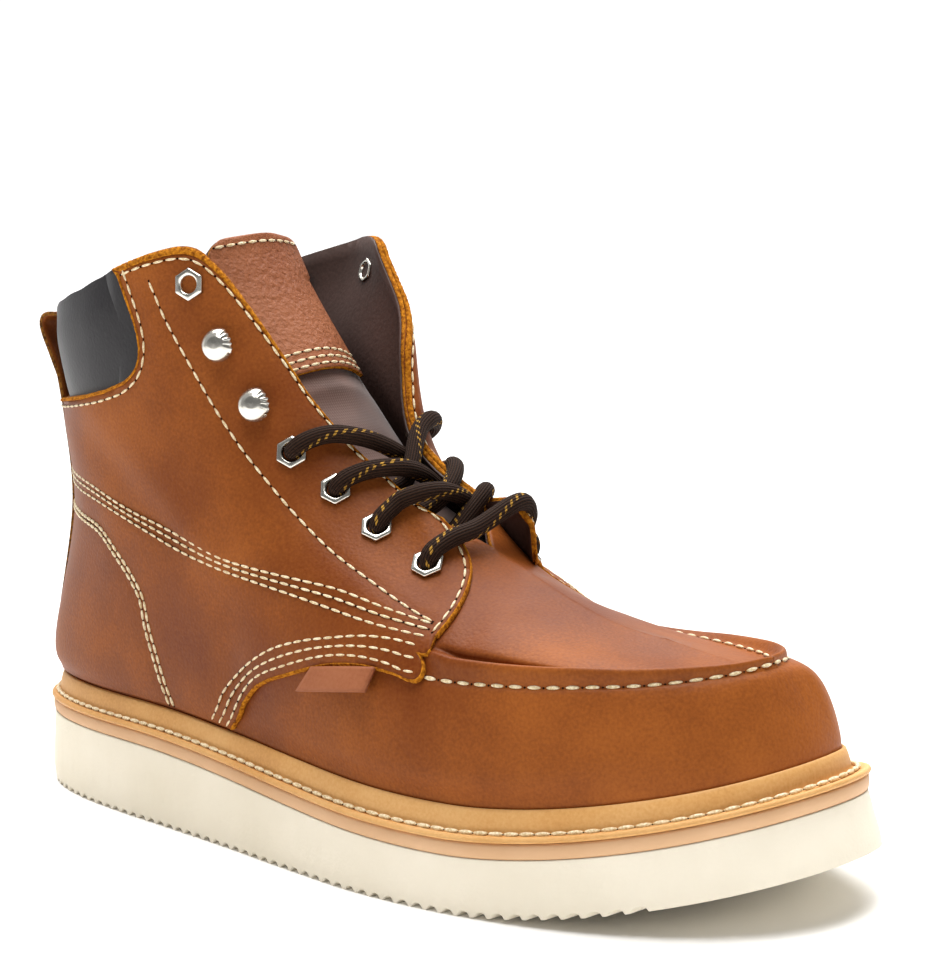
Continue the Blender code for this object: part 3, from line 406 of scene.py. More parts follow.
weltHide = leatherMaterial("weltHide", "#bd8544", "#d09a58", "#deaf72", grain=1.6, rough=(0.5, 0.62),
                           depth=0.06, coat=0.05)
midRubber = rubberMaterial("midsoleSheet", "#cb9d70", "#dbb188", 0.6, 0.08)
soleRubber = rubberMaterial("wedgeRubber", "#e6dcc6", "#f4ebd8", 0.62, 0.12)
tongueCloth = clothMaterial("tongueCloth", "#4a3026", "#604135", 0.4, 0.05)
insoleCloth = clothMaterial("insoleCloth", "#33241d", "#4a372d", 1.1)
nickel = nickelMaterial("platedNickel")
laceBraid = braidMaterial("laceBraid")
print("materials made")


def toWorld(points):
    return (np.asarray(points, float) + bootZero) * mm


def finishPiece(name, bm, mats, nodes, turn=True):
    bmesh.ops.remove_doubles(bm, verts=bm.verts, dist=0.01 * mm)
    bmesh.ops.dissolve_degenerate(bm, edges=bm.edges, dist=0.002 * mm)
    if turn:
        bmesh.ops.recalc_face_normals(bm, faces=bm.faces)
    mesh = bpy.data.meshes.new(name)
    bm.to_mesh(mesh)
    bm.free()
    mesh.polygons.foreach_set("use_smooth", [True] * len(mesh.polygons))
    return placePiece(name, mesh, mats, nodes)


def placePiece(name, mesh, mats, nodes):
    piece = bpy.data.objects.new(name, mesh)
    bpy.context.scene.collection.objects.link(piece)
    for mat in mats:
        mesh.materials.append(mat)
    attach(piece, "root")
    if nodes:
        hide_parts(*nodes)
    return piece


def gridShape(bm, nu, nv, shape, lengths=None):
    # a flat grid over 0..1 by 0..1, bent into place by a formula; lengths are kept as a UV map
    made = bmesh.ops.create_grid(bm, x_segments=nu, y_segments=nv, size=0.5)["verts"]
    uv = np.array([v.co[:2] for v in made]) + 0.5
    if lengths is not None:
        layer = bm.loops.layers.uv.new("UVMap")
        flat = {v: (lengths[int(round(a * nu))], b) for v, (a, b) in zip(made, uv)}
        for loop in (loop for f in bm.faces for loop in f.loops):
            loop[layer].uv = flat[loop.vert]
    for v, p in zip(made, toWorld(shape(uv[:, 0], uv[:, 1]))):
        v.co = p
    return made


# Panels are cut out flat, in section row and height, and then laid on the last
flatScale = np.array([12.5, 130.0])


def insideLoop(points, loop):
    x, y = points[:, 0], points[:, 1]
    inside = np.zeros(len(points), bool)
    for (ax, ay), (bx, by) in zip(loop, np.roll(loop, -1, 0)):
        crosses = (ay > y) != (by > y)
        with np.errstate(divide="ignore", invalid="ignore"):
            inside ^= crosses & (x < (bx - ax) * (y - ay) / (by - ay) + ax)
    return inside


def lineDistance(points, line):
    best = np.full(len(points), 1e9)
    for a, b in zip(line[:-1], line[1:]):
        d = b - a
        t = np.clip(((points - a) @ d) / max(d @ d, 1e-9), 0, 1)
        best = np.minimum(best, np.linalg.norm(points - a - t[:, None] * d, axis=1))
    return best


def cutPanel(outline, rowCuts, heightCuts):
    bm = bmesh.new()
    made = bmesh.ops.create_grid(bm, x_segments=len(rowCuts) - 1, y_segments=len(heightCuts) - 1,
                                 size=0.5)["verts"]
    uv = np.array([v.co[:2] for v in made]) + 0.5
    rows = np.interp(uv[:, 0], np.linspace(0, 1, len(rowCuts)), rowCuts) * flatScale[0]
    heights = np.interp(uv[:, 1], np.linspace(0, 1, len(heightCuts)), heightCuts) * flatScale[1]
    for v, x, y in zip(made, rows, heights):
        v.co = (x, y, 0)
    loop = np.asarray(outline) * flatScale
    for a, b in zip(loop, np.roll(loop, -1, 0)):
        low, high = np.minimum(a, b) - 0.02, np.maximum(a, b) + 0.02
        near = [f for f in bm.faces if crossesBox(f, low, high)]
        parts = set(near)
        for f in near:
            parts.update(f.edges)
            parts.update(f.verts)
        across = (a - b)[::-1] * (1, -1)
        bmesh.ops.bisect_plane(bm, geom=list(parts), dist=0.0005, plane_co=(*a, 0), plane_no=(*across, 0))
    centres = np.array([f.calc_center_median()[:2] for f in bm.faces])
    keep = insideLoop(centres, loop)
    bmesh.ops.delete(bm, geom=[f for f, k in zip(list(bm.faces), keep) if not k], context="FACES")
    bmesh.ops.remove_doubles(bm, verts=[v for v in bm.verts if v.is_boundary], dist=0.25)
    rim = [v for v in bm.verts if v.is_boundary]
    tree = KDTree(len(rim))
    for i, v in enumerate(rim):
        tree.insert(v.co, i)
    tree.balance()
    pulls = {}
    for v in bm.verts:
        if not v.is_boundary:
            place, index, distance = tree.find(v.co)
            if distance < 0.4:
                pulls[v] = rim[index]
    bmesh.ops.weld_verts(bm, targetmap=pulls)
    return bm


def crossesBox(face, low, high):
    xs = [v.co.x for v in face.verts]
    ys = [v.co.y for v in face.verts]
    return min(xs) <= high[0] and max(xs) >= low[0] and min(ys) <= high[1] and max(ys) >= low[1]


def setBack(side, row, v):
    # the inner quarter's front edge lies further back below its flap
    return row - shapes["back"] * (side > 0) * ease(11.8, 13.7, row) * ease(0.87, 0.80, v)


def layPanel(flat, sides, lift, back=False):
    # lays copies of a flat panel on the outer (-1) and inner (1) side of the last
    bm = bmesh.new()
    for side in sides:
        copy = flat.copy()
        places = np.array([v.co[:2] for v in copy.verts]) / flatScale
        if back:
            places[:, 0] = setBack(side, places[:, 0], places[:, 1])
        spots = toWorld(onSkin(side, places[:, 0], places[:, 1], lift(side, places[:, 0], places[:, 1])))
        for v, p in zip(copy.verts, spots):
            v.co = p
        if side > 0:
            bmesh.ops.reverse_faces(copy, faces=copy.faces)
        mesh = bpy.data.meshes.new("laid")
        copy.to_mesh(mesh)
        copy.free()
        bm.from_mesh(mesh)
        bpy.data.meshes.remove(mesh)
    return bm


def thicken(piece, thickness, rimSlot, innerSlot=0):
    solid = piece.modifiers.new("wall", "SOLIDIFY")
    solid.thickness = thickness * mm
    solid.offset = -1
    solid.material_offset_rim = rimSlot
    solid.material_offset = innerSlot
    return solid


# Edges and seams of the upper, as section row and height
notchEdge = [
    (4.05, 1.0), (4.15, 0.984), (4.343, 0.936), (4.50, 0.90), (4.61, 0.872), (4.652, 0.848), (4.62, 0.832),
    (4.55, 0.82), (4.40, 0.810), (4.212, 0.803), (3.593, 0.795), (2.748, 0.795), (1.68, 0.802), (0.8, 0.81),
    (0.0, 0.816),
]
lobeEdge = [
    (6.20, 0.104), (6.38, 0.19), (6.61, 0.282), (6.88, 0.325), (7.27, 0.360), (7.75, 0.383), (8.28, 0.401),
    (9.24, 0.430), (9.96, 0.449), (10.60, 0.462), (11.32, 0.472), (12.11, 0.476), (12.60, 0.474),
    (12.86, 0.479), (13.03, 0.494), (13.08, 0.512), (13.00, 0.529), (12.90, 0.536), (13.16, 0.541),
    (13.30, 0.556),
]
frontEdge = [
    (13.45, 0.592), (13.69, 0.645), (13.82, 0.69), (13.88, 0.735), (13.91, 0.78), (13.88, 0.824),
    (13.81, 0.862), (13.71, 0.896), (13.56, 0.935), (13.40, 0.968), (13.20, 1.0),
]
seams = dict(
    tripleTop=[(0.0, 0.655), (1.1, 0.641), (2.22, 0.629), (3.77, 0.599), (5.18, 0.582), (6.49, 0.568),
               (7.94, 0.573), (9.3, 0.585), (10.37, 0.598), (11.70, 0.605), (13.20, 0.622)],
    tripleLow=[(0.0, 0.628), (1.1, 0.614), (2.21, 0.602), (4.04, 0.576), (5.47, 0.554), (6.45, 0.549),
               (7.91, 0.549), (9.79, 0.551), (11.78, 0.561), (13.10, 0.583)],
    counter=[(0.0, 0.560), (1.0, 0.556), (2.09, 0.549), (2.97, 0.536), (3.44, 0.510), (3.86, 0.481),
             (4.11, 0.453), (4.21, 0.404), (4.35, 0.347), (4.47, 0.275), (4.55, 0.191), (4.59, 0.112)],
    lobeTop=[(5.63, 0.112), (5.80, 0.21), (6.09, 0.309), (6.85, 0.383), (7.88, 0.436), (9.09, 0.472),
             (10.26, 0.500), (11.34, 0.527), (12.35, 0.547), (12.87, 0.553)],
    eyestay=[(4.98, 0.955), (5.42, 0.890), (6.39, 0.813), (7.20, 0.770), (8.28, 0.736), (8.99, 0.714),
             (10.21, 0.674), (11.40, 0.651), (12.53, 0.633), (13.22, 0.628)],
    moc=[(12.95, 0.489), (14.08, 0.499), (15.13, 0.502), (16.46, 0.501), (17.62, 0.502), (18.70, 0.506),
         (19.56, 0.514), (20.38, 0.521), (21.0, 0.525)],
)


def flatLine(points):
    return np.asarray(points, float) * flatScale


def insetLine(points, distance):
    # a line moved to its left in the flat panel
    p = flatLine(points)
    t = unit(np.gradient(p, axis=0))
    return (p + np.stack([-t[:, 1], t[:, 0]], -1) * distance) / flatScale


def between(a, b, share, count=24):
    # a row between two seams, point for point along their lengths
    q = np.linspace(0, 1, count)
    lines = []
    for line in (flatLine(a), flatLine(b)):
        length = runLength(line)
        lines.append(smoothTable(length / length[-1], line, q))
    return (lines[0] * (1 - share) + lines[1] * share) / flatScale


topLine = [(r, 1.0) for r in np.linspace(13.2, 4.05, 40)]
cutEdge = np.array(frontEdge + topLine[1:-1] + notchEdge)
edgeWidth = np.array([0.8] * len(frontEdge) + [1.3] * len(topLine[1:-1]) + [0.8] * len(notchEdge))[:, None]
faceEdge = insetLine(cutEdge, edgeWidth)
hem = [(r, 0.108) for r in np.linspace(0.0, 5.9, 8)]
quarterOutline = np.array(hem + lobeEdge + [tuple(p) for p in faceEdge])
baseOutline = np.array([(0.0, 0.0), (21.0, 0.0), (21.0, 1.0)] + [(4.05, 1.0)] + notchEdge[1:])

# Soft creases and hollows: side, row, height, length and width in mm, turn in degrees, depth in mm
creases = [
    (-1, 3.2, 0.70, 60, 13, -32, 1.5), (-1, 4.4, 0.66, 55, 11, -28, -1.0), (-1, 6.4, 0.36, 34, 12, 70, 0.7),
    (-1, 8.6, 0.52, 46, 11, 12, 0.5), (-1, 14.3, 0.66, 30, 9, 70, 0.9), (-1, 15.0, 0.78, 34, 10, 55, -0.5),
    (1, 3.4, 0.70, 60, 13, -30, 1.3), (1, 6.6, 0.40, 34, 12, 68, 0.7), (1, 14.4, 0.68, 32, 9, 66, 0.9),
    (-1, 2.4, 0.42, 36, 14, 80, 0.5), (1, 2.6, 0.44, 36, 14, 80, 0.5), (1, 9.0, 0.54, 44, 12, 10, 0.5),
]


def creaseDepth(side, row, v):
    total = np.zeros(np.shape(row))
    for creaseSide, r, h, length, width, turn, depth in creases:
        if creaseSide == side:
            d = (np.stack([row - r, v - h], -1)) * flatScale
            c, s = math.cos(math.radians(turn)), math.sin(math.radians(turn))
            along, across = d[..., 0] * c + d[..., 1] * s, -d[..., 0] * s + d[..., 1] * c
            total += depth * np.exp(-(along / length * 2) ** 2 - (across / width * 2) ** 2)
    return total


def ridgeLift(row, v):
    # the moc seam stands up over its stitches, with its crest to the inside
    rise = ease(0.497, 0.546, v) * (1 - ease(0.548, 0.566, v))
    pucker = 0.10 * np.sin(row * 2 * np.pi * 2.2) * ease(0.497, 0.52, v) * (1 - ease(0.53, 0.548, v))
    return (form["ridge"] * rise + pucker) * ease(12.9, 13.7, row)


def seamGroove(row, v, lines, depth, width):
    points = np.stack([row, v], -1) * flatScale
    total = np.zeros(len(points))
    for line in lines:
        total = np.maximum(total, depth * np.exp(-(lineDistance(points, flatLine(line)) / width) ** 2))
    return total


def lean(side, row, v):
    # the inner facing leans open towards its top
    return shapes["lean"] * (side > 0) * ease(11.4, 8.2, row) * ease(3.6, 5.4, row) * ease(0.82, 1.0, v)


def flare(side, row, v):
    # besides its lean, the inner facing stands off the vamp before its last eyelet and is skived below
    stand = shapes["stand"] * ease(12.8, 13.4, row) * ease(0.84, 0.93, v)
    skive = shapes["skive"] * ease(12.4, 13.2, row) * ease(0.82, 0.77, v)
    return lean(side, row, v) + (side > 0) * (stand - skive)


def vampLift(side, row, v):
    groove = seamGroove(row, v, [seams["moc"]], 0.7, 1.3)
    deep = 0.3 + 1.3 * (side < 0) * ease(20.0, 18.0, row)
    trench = deep * np.exp(-((v - 0.571) / 0.008) ** 2) * ease(13.2, 14.0, row)
    rise = lean(side, row, v) + ridgeLift(row, v)
    return rise - groove * ease(12.6, 13.2, row) - trench - creaseDepth(side, row, v)


upperPiece = dict(rowStep=0.125, coarse=0.0125, fine=0.004, leather=1.4, lining=0.7, quarter=1.42)


def makeUpper():
    rows = np.arange(0, 21 + 1e-6, upperPiece["rowStep"])
    heights = np.concatenate([np.arange(0, 0.485, upperPiece["coarse"]),
                              np.arange(0.485, 0.58, upperPiece["fine"]),
                              np.linspace(0.58, 1.0, 33)])
    flat = cutPanel(baseOutline, rows, heights)
    bm = layPanel(flat, (-1, 1), vampLift)
    vamp = finishPiece("vamp", bm, [cowhide, rawEdge], ["upper"], False)
    thicken(vamp, upperPiece["leather"], 1)
    coarse = cutPanel(baseOutline, np.linspace(0, 21, 80), np.linspace(0, 1, 40))

    def liningLift(side, row, v):
        sunk = 1.8 * ease(0.52, 0.56, v) * ease(0.64, 0.59, v) * ease(13.0, 14.0, row)
        return lean(side, row, v) - upperPiece["leather"] - sunk - 0.05

    bm = layPanel(coarse, (-1, 1), liningLift)
    lining = finishPiece("lining", bm, [liningHide, liningHide], [], False)
    thicken(lining, upperPiece["lining"], 1)
    rows = np.arange(0, 14 + 1e-6, upperPiece["rowStep"])
    heights = np.linspace(0.1, 1.0, 74)
    flat = cutPanel(quarterOutline, rows, heights)
    stitched = [seams["eyestay"], seams["counter"], between(seams["tripleTop"], seams["tripleLow"], 0.5)]
    edges = np.concatenate([insetLine(frontEdge + topLine[1:-1], 2.4), insetLine(notchEdge, 2.4)])

    def quarterLift(side, row, v):
        groove = seamGroove(row, v, stitched + [edges], 0.28, 1.6)
        return form["step"] + flare(side, row, v) - groove - creaseDepth(side, row, v)

    bm = layPanel(flat, (-1, 1), quarterLift, True)
    quarters = finishPiece("quarters", bm, [cowhide, rawEdge, liningHide], ["upper"], False)
    thicken(quarters, upperPiece["quarter"], 1, 2)
    print("upper made")


# Torn fibres of the cut edge: share of the way from the face to the cut, lift under the face in millimetres
edgeSection = np.array([(-0.25, -0.25), (-0.1, 0.06), (0.2, 0.10), (0.5, 0.0), (0.8, -0.3), (1.0, -0.75),
                        (1.0, -1.2), (0.6, -1.5)])


def makeRawEdge():
    last = len(edgeSection) - 1
    lobe = smoothTable(np.arange(len(lobeEdge)), np.array(lobeEdge), np.linspace(0, len(lobeEdge) - 1, 120))
    bm = bmesh.new()
    for side, inner, outer in [(side, *pair) for side in (-1, 1)
                               for pair in ((faceEdge, cutEdge), (lobe, insetLine(lobe, -0.7)))]:
        length = runLength(flatLine(inner))
        count = int(length[-1] / 0.4)
        q = np.linspace(0, length[-1], count + 1)
        face, cut = (alongTable(q, length, line) for line in (inner, outer))

        def shape(u, w):
            i, j = np.round(u * count).astype(int), np.round(w * last).astype(int)
            torn = np.mod(np.sin(i * 12.99 + j * 78.23) * 4375.85, 1) - 0.5
            share = edgeSection[j, 0] - 0.45 * np.abs(torn) * (edgeSection[j, 0] > 0.4)
            spots = face[i] + (cut[i] - face[i]) * share[:, None]
            row, v = setBack(side, spots[:, 0], spots[:, 1]), np.minimum(spots[:, 1], 1.0)
            lift = form["step"] + flare(side, row, v) + edgeSection[j, 1]
            lift = lift + 0.3 * torn * (edgeSection[j, 0] > 0.1)
            return onSkin(side, np.maximum(row, 0), v, lift)

        gridShape(bm, count, last, shape)
    finishPiece("cutEdge", bm, [rawEdge], [])
    print("cut edge made")


# Thread: each stitch is a small plump capsule, with a needle hole at each end
stitchSize = dict(pitch=4.1, share=0.84, radius=0.40, seat=0.12, hole=0.40)


def stitchLine(side, points, lift, back=False):
    line = flatLine(points)
    length = runLength(line)
    q = np.linspace(0, length[-1], max(int(length[-1] / 0.4), 8))
    spots = smoothTable(length, line, q) / flatScale
    if back:
        spots[:, 0] = setBack(side, spots[:, 0], spots[:, 1])
    path = onSkin(side, spots[:, 0], spots[:, 1], lift(side, spots[:, 0], spots[:, 1]))
    return path, skinNormal(side, spots[:, 0], spots[:, 1])


def sewAlong(path, normals, pitch, share=None):
    # centres, directions and normals of the stitches on a path
    length = runLength(path)
    count = max(int(round(length[-1] / pitch)), 1)
    step = length[-1] / count
    at = lambda q, a: alongTable(q, length, a)
    middle = (np.arange(count) + 0.5) * step
    half = step * (share or stitchSize["share"]) / 2
    a, b = at(middle - half, path), at(middle + half, path)
    return dict(centre=(a + b) / 2, along=unit(b - a), normal=unit(at(middle, normals)),
                half=np.linalg.norm(b - a, axis=1) / 2, ends=at(np.arange(count + 1) * step, path),
                endNormal=unit(at(np.arange(count + 1) * step, normals)))


def beadShape(u, v):
    bm = bmesh.new()
    bmesh.ops.create_uvsphere(bm, u_segments=u, v_segments=v, radius=1.0)
    # corners and faces are put in order, so that every run writes the same mesh
    verts = np.array([p.co[:] for p in bm.verts])
    order = np.lexsort(verts.round(4).T)
    rank = np.argsort(order)
    faces = []
    for f in bm.faces:
        ring = [int(rank[p.index]) for p in f.verts]
        first = ring.index(min(ring))
        faces.append(ring[first:] + ring[:first])
    bm.free()
    return verts[order], sorted(faces)


def joinBeads(name, shape, centres, axes, scales, mat):
    # many copies of one bead as a single mesh; axes and scales hold three for each copy
    verts, faces = shape
    spots = [toWorld(c + (verts * s) @ a) for c, a, s in zip(centres, axes, scales)]
    count = len(verts)
    rings = [[i + k * count for i in f] for k in range(len(centres)) for f in faces]
    mesh = bpy.data.meshes.new(name)
    mesh.from_pydata(np.concatenate(spots).tolist(), [], rings)
    mesh.polygons.foreach_set("use_smooth", [True] * len(mesh.polygons))
    return placePiece(name, mesh, [mat], [])


def sew(name, runs, radius=None):
    radius = radius or stitchSize["radius"]
    centres, axes, scales = [], [], []
    ends, endAxes = [], []
    for run in runs:
        for c, t, n, half in zip(run["centre"], run["along"], run["normal"], run["half"]):
            b = unit(np.cross(n, t))
            centres.append(c + n * stitchSize["seat"])
            axes.append(np.array([np.cross(t, b), b, t]))
            scales.append((radius * 0.85, radius, half))
        for e, n in zip(run["ends"], run["endNormal"]):
            ends.append(e + n * 0.02)
            t = unit(np.cross(n, (0.3, 0.5, 0.8)))
            endAxes.append(np.array([t, np.cross(n, t), n]))
    joinBeads(name, beadShape(7, 7), centres, axes, scales, creamThread)
    size = [(stitchSize["hole"], stitchSize["hole"], 0.14)] * len(ends)
    joinBeads(name + "Holes", beadShape(6, 4), ends, endAxes, size, needleHole)


def makeStitching():
    flat = lambda side, r, v: form["step"] - 0.2 + flare(side, r, v)
    runs, counterRuns, mocRuns, edgeRuns = [], [], [], []
    triple = [between(seams["tripleTop"], seams["tripleLow"], s) for s in (0.0, 0.46, 1.0)]
    lobe = [between(seams["lobeTop"], insetLine(lobeEdge[:14], 1.8), s) for s in (0.0, 0.5, 1.0)]
    edge = np.array(list(insetLine(frontEdge, 2.4)) + list(insetLine(topLine, 2.4))[2:-1])
    notch = insetLine(notchEdge, 2.4)[1:]
    doubled = [insetLine(seams["counter"], d) for d in (-0.65, 0.65)]
    for side in (-1, 1):
        for line in triple + lobe:
            runs.append(sewAlong(*stitchLine(side, line, flat), stitchSize["pitch"]))
        for line in doubled:
            counterRuns.append(sewAlong(*stitchLine(side, line, flat), 3.4, 0.9))
        for line in (seams["eyestay"], edge, notch):
            edgeRuns.append(sewAlong(*stitchLine(side, line, flat, True), 4.5, 0.80))
        plugSide = [(r, 0.583 - 0.012 * (side < 0)) for r in np.linspace(13.9 + 2.1 * (side < 0), 21.0, 16)]
        for line in (seams["moc"], plugSide):
            mocRuns.append(sewAlong(*stitchLine(side, line, vampLift), 5.3, 0.70))
    sew("seamThread", runs)
    sew("counterThread", counterRuns, 0.55)
    sew("edgeThread", edgeRuns)
    sew("mocThread", mocRuns, 0.62)
    print("stitching made")


# Sole: slanted ribs, closer than the solid's 5.75 mm, smooth heel and toe, a bare plate under the arch
tread = dict(pitch=4.95, count=51, depth=1.5, start=27.0, slant=0.19, perRib=10, plate=(91, 138, -17, 6))
sideSteps = np.array([0.03, 0.06, 0.10, 0.15, 0.22, 0.35, 0.55, 0.75, 0.9, 0.97, 1.0])


def roundEdge(q, inset):
    # point on the sole edge: q runs 0 to 1 up the outer side to the toe and 1 to 2 back down the inner side
    q = np.mod(q, 2)
    s = np.where(q < 1, q, 2 - q)
    return np.where((q < 1)[:, None], soleEdge(s, -1, inset), soleEdge(s, 1, inset)), s


def makeOutsole():
    q = np.linspace(0, 2, 8001)[:-1]
    p = roundEdge(q, np.zeros(len(q)))[0]
    slanted = p[:, 0] - tread["slant"] * p[:, 1]
    heel, toe = int(np.argmin(slanted)), int(np.argmax(slanted))
    up = np.arange(heel, toe + len(q) + 1) if heel > toe else np.arange(heel, toe + 1)
    down = np.arange(heel, toe - 1, -1) if heel > toe else np.arange(heel + len(q), toe - 1, -1)
    chains = []
    for chain in (up, down):
        chains.append((np.maximum.accumulate(slanted[chain % len(q)]), chain * 2 / len(q)))
    first, last = slanted[heel], slanted[toe]
    ends = tread["start"] + np.array([0, tread["count"] * tread["pitch"]])
    lines = np.concatenate([first + (ends[0] - first) * np.linspace(0, 1, 26)[:-1] ** 2,
                            np.linspace(*ends, tread["count"] * tread["perRib"] + 1),
                            ends[1] + (last - ends[1]) * (1 - (1 - np.linspace(0, 1, 26)[1:]) ** 2)])
    steps = len(sideSteps)
    bottom = 24

    def shape(u, w):
        c = lines[np.round(u * (len(lines) - 1)).astype(int)]
        j = np.round(w * (bottom + 2 * steps + 1)).astype(int)
        across = np.mod((c - ends[0]) / tread["pitch"], 1) - 0.5
        groove = tread["depth"] * np.sqrt(np.clip(1 - (across / 0.38) ** 2, 0, 1))
        groove = np.where((c > ends[0]) & (c < ends[1]), groove, 0)
        spots = []
        for levels, places in chains:
            turn = np.interp(c, levels, places)
            s = roundEdge(turn, np.zeros(len(c)))[1]
            rounding = 0.8 + 6.5 * (1 - ease(0.02, 0.20, s))
            k = np.where(j <= bottom + steps, j - bottom - 1, bottom + 2 * steps - j)
            t = np.where(j <= bottom, 0, sideSteps[np.clip(k, 0, steps - 1)])
            t = np.where(j == bottom + 2 * steps + 1, 0, t)
            inset = 0.5 * rounding * (1 - ease(0, 0.30, t)) ** 2 + (1.7 + draft(s)) * t
            xy = roundEdge(turn, inset)[0]
            low = soleBottom(xy[:, 0])
            z = low + groove + (outsoleTop(xy[:, 0]) - low - groove) * t
            spots.append(np.column_stack([xy, z]))
        share = np.where(j <= bottom, j / bottom, np.where(j <= bottom + steps, 1.0, 0.0))
        p = spots[0] + (spots[1] - spots[0]) * share[:, None]
        left, right, near, far = tread["plate"]
        bare = (p[:, 0] > left) & (p[:, 0] < right) & (p[:, 1] > near) & (p[:, 1] < far) & (j <= bottom)
        p[:, 2] = np.where(j <= bottom, soleBottom(p[:, 0]) + groove * np.where(bare, 0.1, 1.0), p[:, 2])
        return p

    bm = bmesh.new()
    gridShape(bm, len(lines) - 1, bottom + 2 * steps + 1, shape)
    finishPiece("wedgeSole", bm, [soleRubber], ["outsole"])
    print("outsole made")


def ringShape(bm, count, profile, shape):
    # a profile carried once round the edge of the sole
    profile = np.asarray(profile)
    stations = np.linspace(0, 1, len(profile))

    def place(u, w):
        turn = u * 2
        side = np.where(turn <= 1, -1, 1)
        s = np.where(turn <= 1, turn, 2 - turn)
        return shape(side, s, alongTable(w, stations, profile))

    return gridShape(bm, count, len(profile) - 1, place)


def edgeSpots(side, s, inset, rise):
    xy = np.where((side < 0)[:, None], soleEdge(s, -1, inset), soleEdge(s, 1, inset))
    return np.column_stack([xy, outsoleTop(xy[:, 0]) + rise])


# Midsole and welt sections: share of the feather inset, inset and rise in millimetres
midsoleSection = [
    (0, 12, 0.1), (0, 2.0, 0.1), (0, 1.55, 0.7), (0, 1.35, 2.2), (0, 1.45, 3.7), (0, 1.8, 4.4), (0, 12, 4.4),
    (0, 12, 0.1),
]
weltSection = [
    (1, 5.0, 4.6), (0, 1.7, 4.6), (0, 1.15, 4.75), (0, 0.9, 5.2), (0, 0.95, 5.7), (0, 1.3, 6.2),
    (0, 1.9, 6.4), (0, 2.6, 6.35), (0, 3.0, 6.0), (1, -3.4, 5.95), (1, -2.9, 6.3), (1, -2.6, 7.2),
    (1, -2.3, 8.8), (1, -1.8, 10.6), (1, -1.25, 12.1), (1, -0.75, 12.65), (1, -0.3, 12.6), (1, 0.1, 12.0),
    (1, 0.3, 6.8), (1, 5.0, 6.4), (1, 5.0, 4.6),
]


def sectionInset(s, rows):
    return np.where(rows[:, 0] > 0.5, featherInset(s), draft(s)) + rows[:, 1]


def makeWelt():
    place = lambda side, s, rows: edgeSpots(side, s, sectionInset(s, rows), rows[:, 2])
    bands = (("midsoleBand", midsoleSection, midRubber, "midsole_tan", "midsole"),
             ("stormWelt", weltSection, weltHide, "welt_tan", "welt"))
    for name, section, mat, slot, node in bands:
        bm = bmesh.new()
        ringShape(bm, 360, section, place)
        finishPiece(name, bm, [mat], [node])
    s = np.concatenate([np.linspace(0, 1, 600), np.linspace(1, 0, 600)[1:]])
    side = np.where(np.arange(len(s)) < 600, -1, 1)
    inset = (draft(s) + 3.0 + featherInset(s) - 3.4) / 2
    path = edgeSpots(side, s, inset, np.full(len(s), 6.6))
    sew("weltThread", [sewAlong(path, np.tile((0, 0, 1.0), (len(path), 1)), 4.6, 0.98)], 0.80)
    print("welt made")


# Collar pad: crowned black hide tucked under the notch, rolled over at its top
padShape = dict(puff=-1.0, tuck=-1.7, inner=-6.4, reach=5.1, foot=0.775)


def makeCollarPad():
    notch = flatLine(notchEdge)
    room = np.concatenate([notch, flatLine([(-0.5, 0.816), (-0.5, 1.1), (4.05, 1.1)])])

    def padLift(r, v):
        points = np.stack([r, np.minimum(v, 0.999)], -1) * flatScale
        depth = np.where(insideLoop(points, room), lineDistance(points, notch), 0)
        crown = (padShape["puff"] - padShape["tuck"]) * (1 - np.exp(-depth / 4.2))
        return padShape["tuck"] + crown - 1.6 * ease(0.90, 1.0, v) ** 2

    def shape(u, w):
        turn = (u - 0.5) * 2 * padShape["reach"]
        side, row = np.sign(turn), np.abs(turn)
        v = np.where(w < 0.55, padShape["foot"] + (1 - padShape["foot"]) * np.clip(w / 0.45, 0, 1),
                     1 - (1 - padShape["foot"]) * np.clip((w - 0.62) / 0.38, 0, 1))
        v = v - 0.02 * ease(3.9, 4.3, row) * ease(0.9, 1.0, v)
        out = padLift(row, v)
        out += (-1.2 - out) * ease(3.9, 4.3, row)
        swing = ease(0.42, 0.64, w)
        inner = padShape["inner"] + (-1.2 - padShape["inner"]) * ease(3.1, 4.0, row)
        lift = out * (1 - swing) + inner * swing + lean(side, row, v)
        p = onEither(side, row, v, lift)
        over = np.sin(np.pi * np.clip((w - 0.40) / 0.26, 0, 1))
        p[:, 2] += 0.4 * over * ease(4.6, 3.9, row)
        wrinkle = 0.16 * np.sin(turn * 9) * np.exp(-((w - 0.42) / 0.10) ** 2)
        p[:, 2] += wrinkle
        return p

    bm = bmesh.new()
    gridShape(bm, 130, 60, shape)
    pad = finishPiece("collarPad", bm, [padHide], ["collar_pad"])
    print("collar pad made")


# Strip over the heel seam and its pull loop: x, z of the outer face, bow across its width
strap = dict(half=14.2, thick=1.3, seat=0.45)
loopTable = np.array([
    (7.6, 132.5, 3.4), (4.0, 141.0, 2.7), (1.7, 147.0, 2.0), (1.5, 151.0, 1.2), (3.2, 153.7, 0.4),
    (6.2, 154.8, -0.2), (11.0, 154.2, -1.0), (15.4, 150.8, -3.0), (18.0, 143.5, -4.6),
])


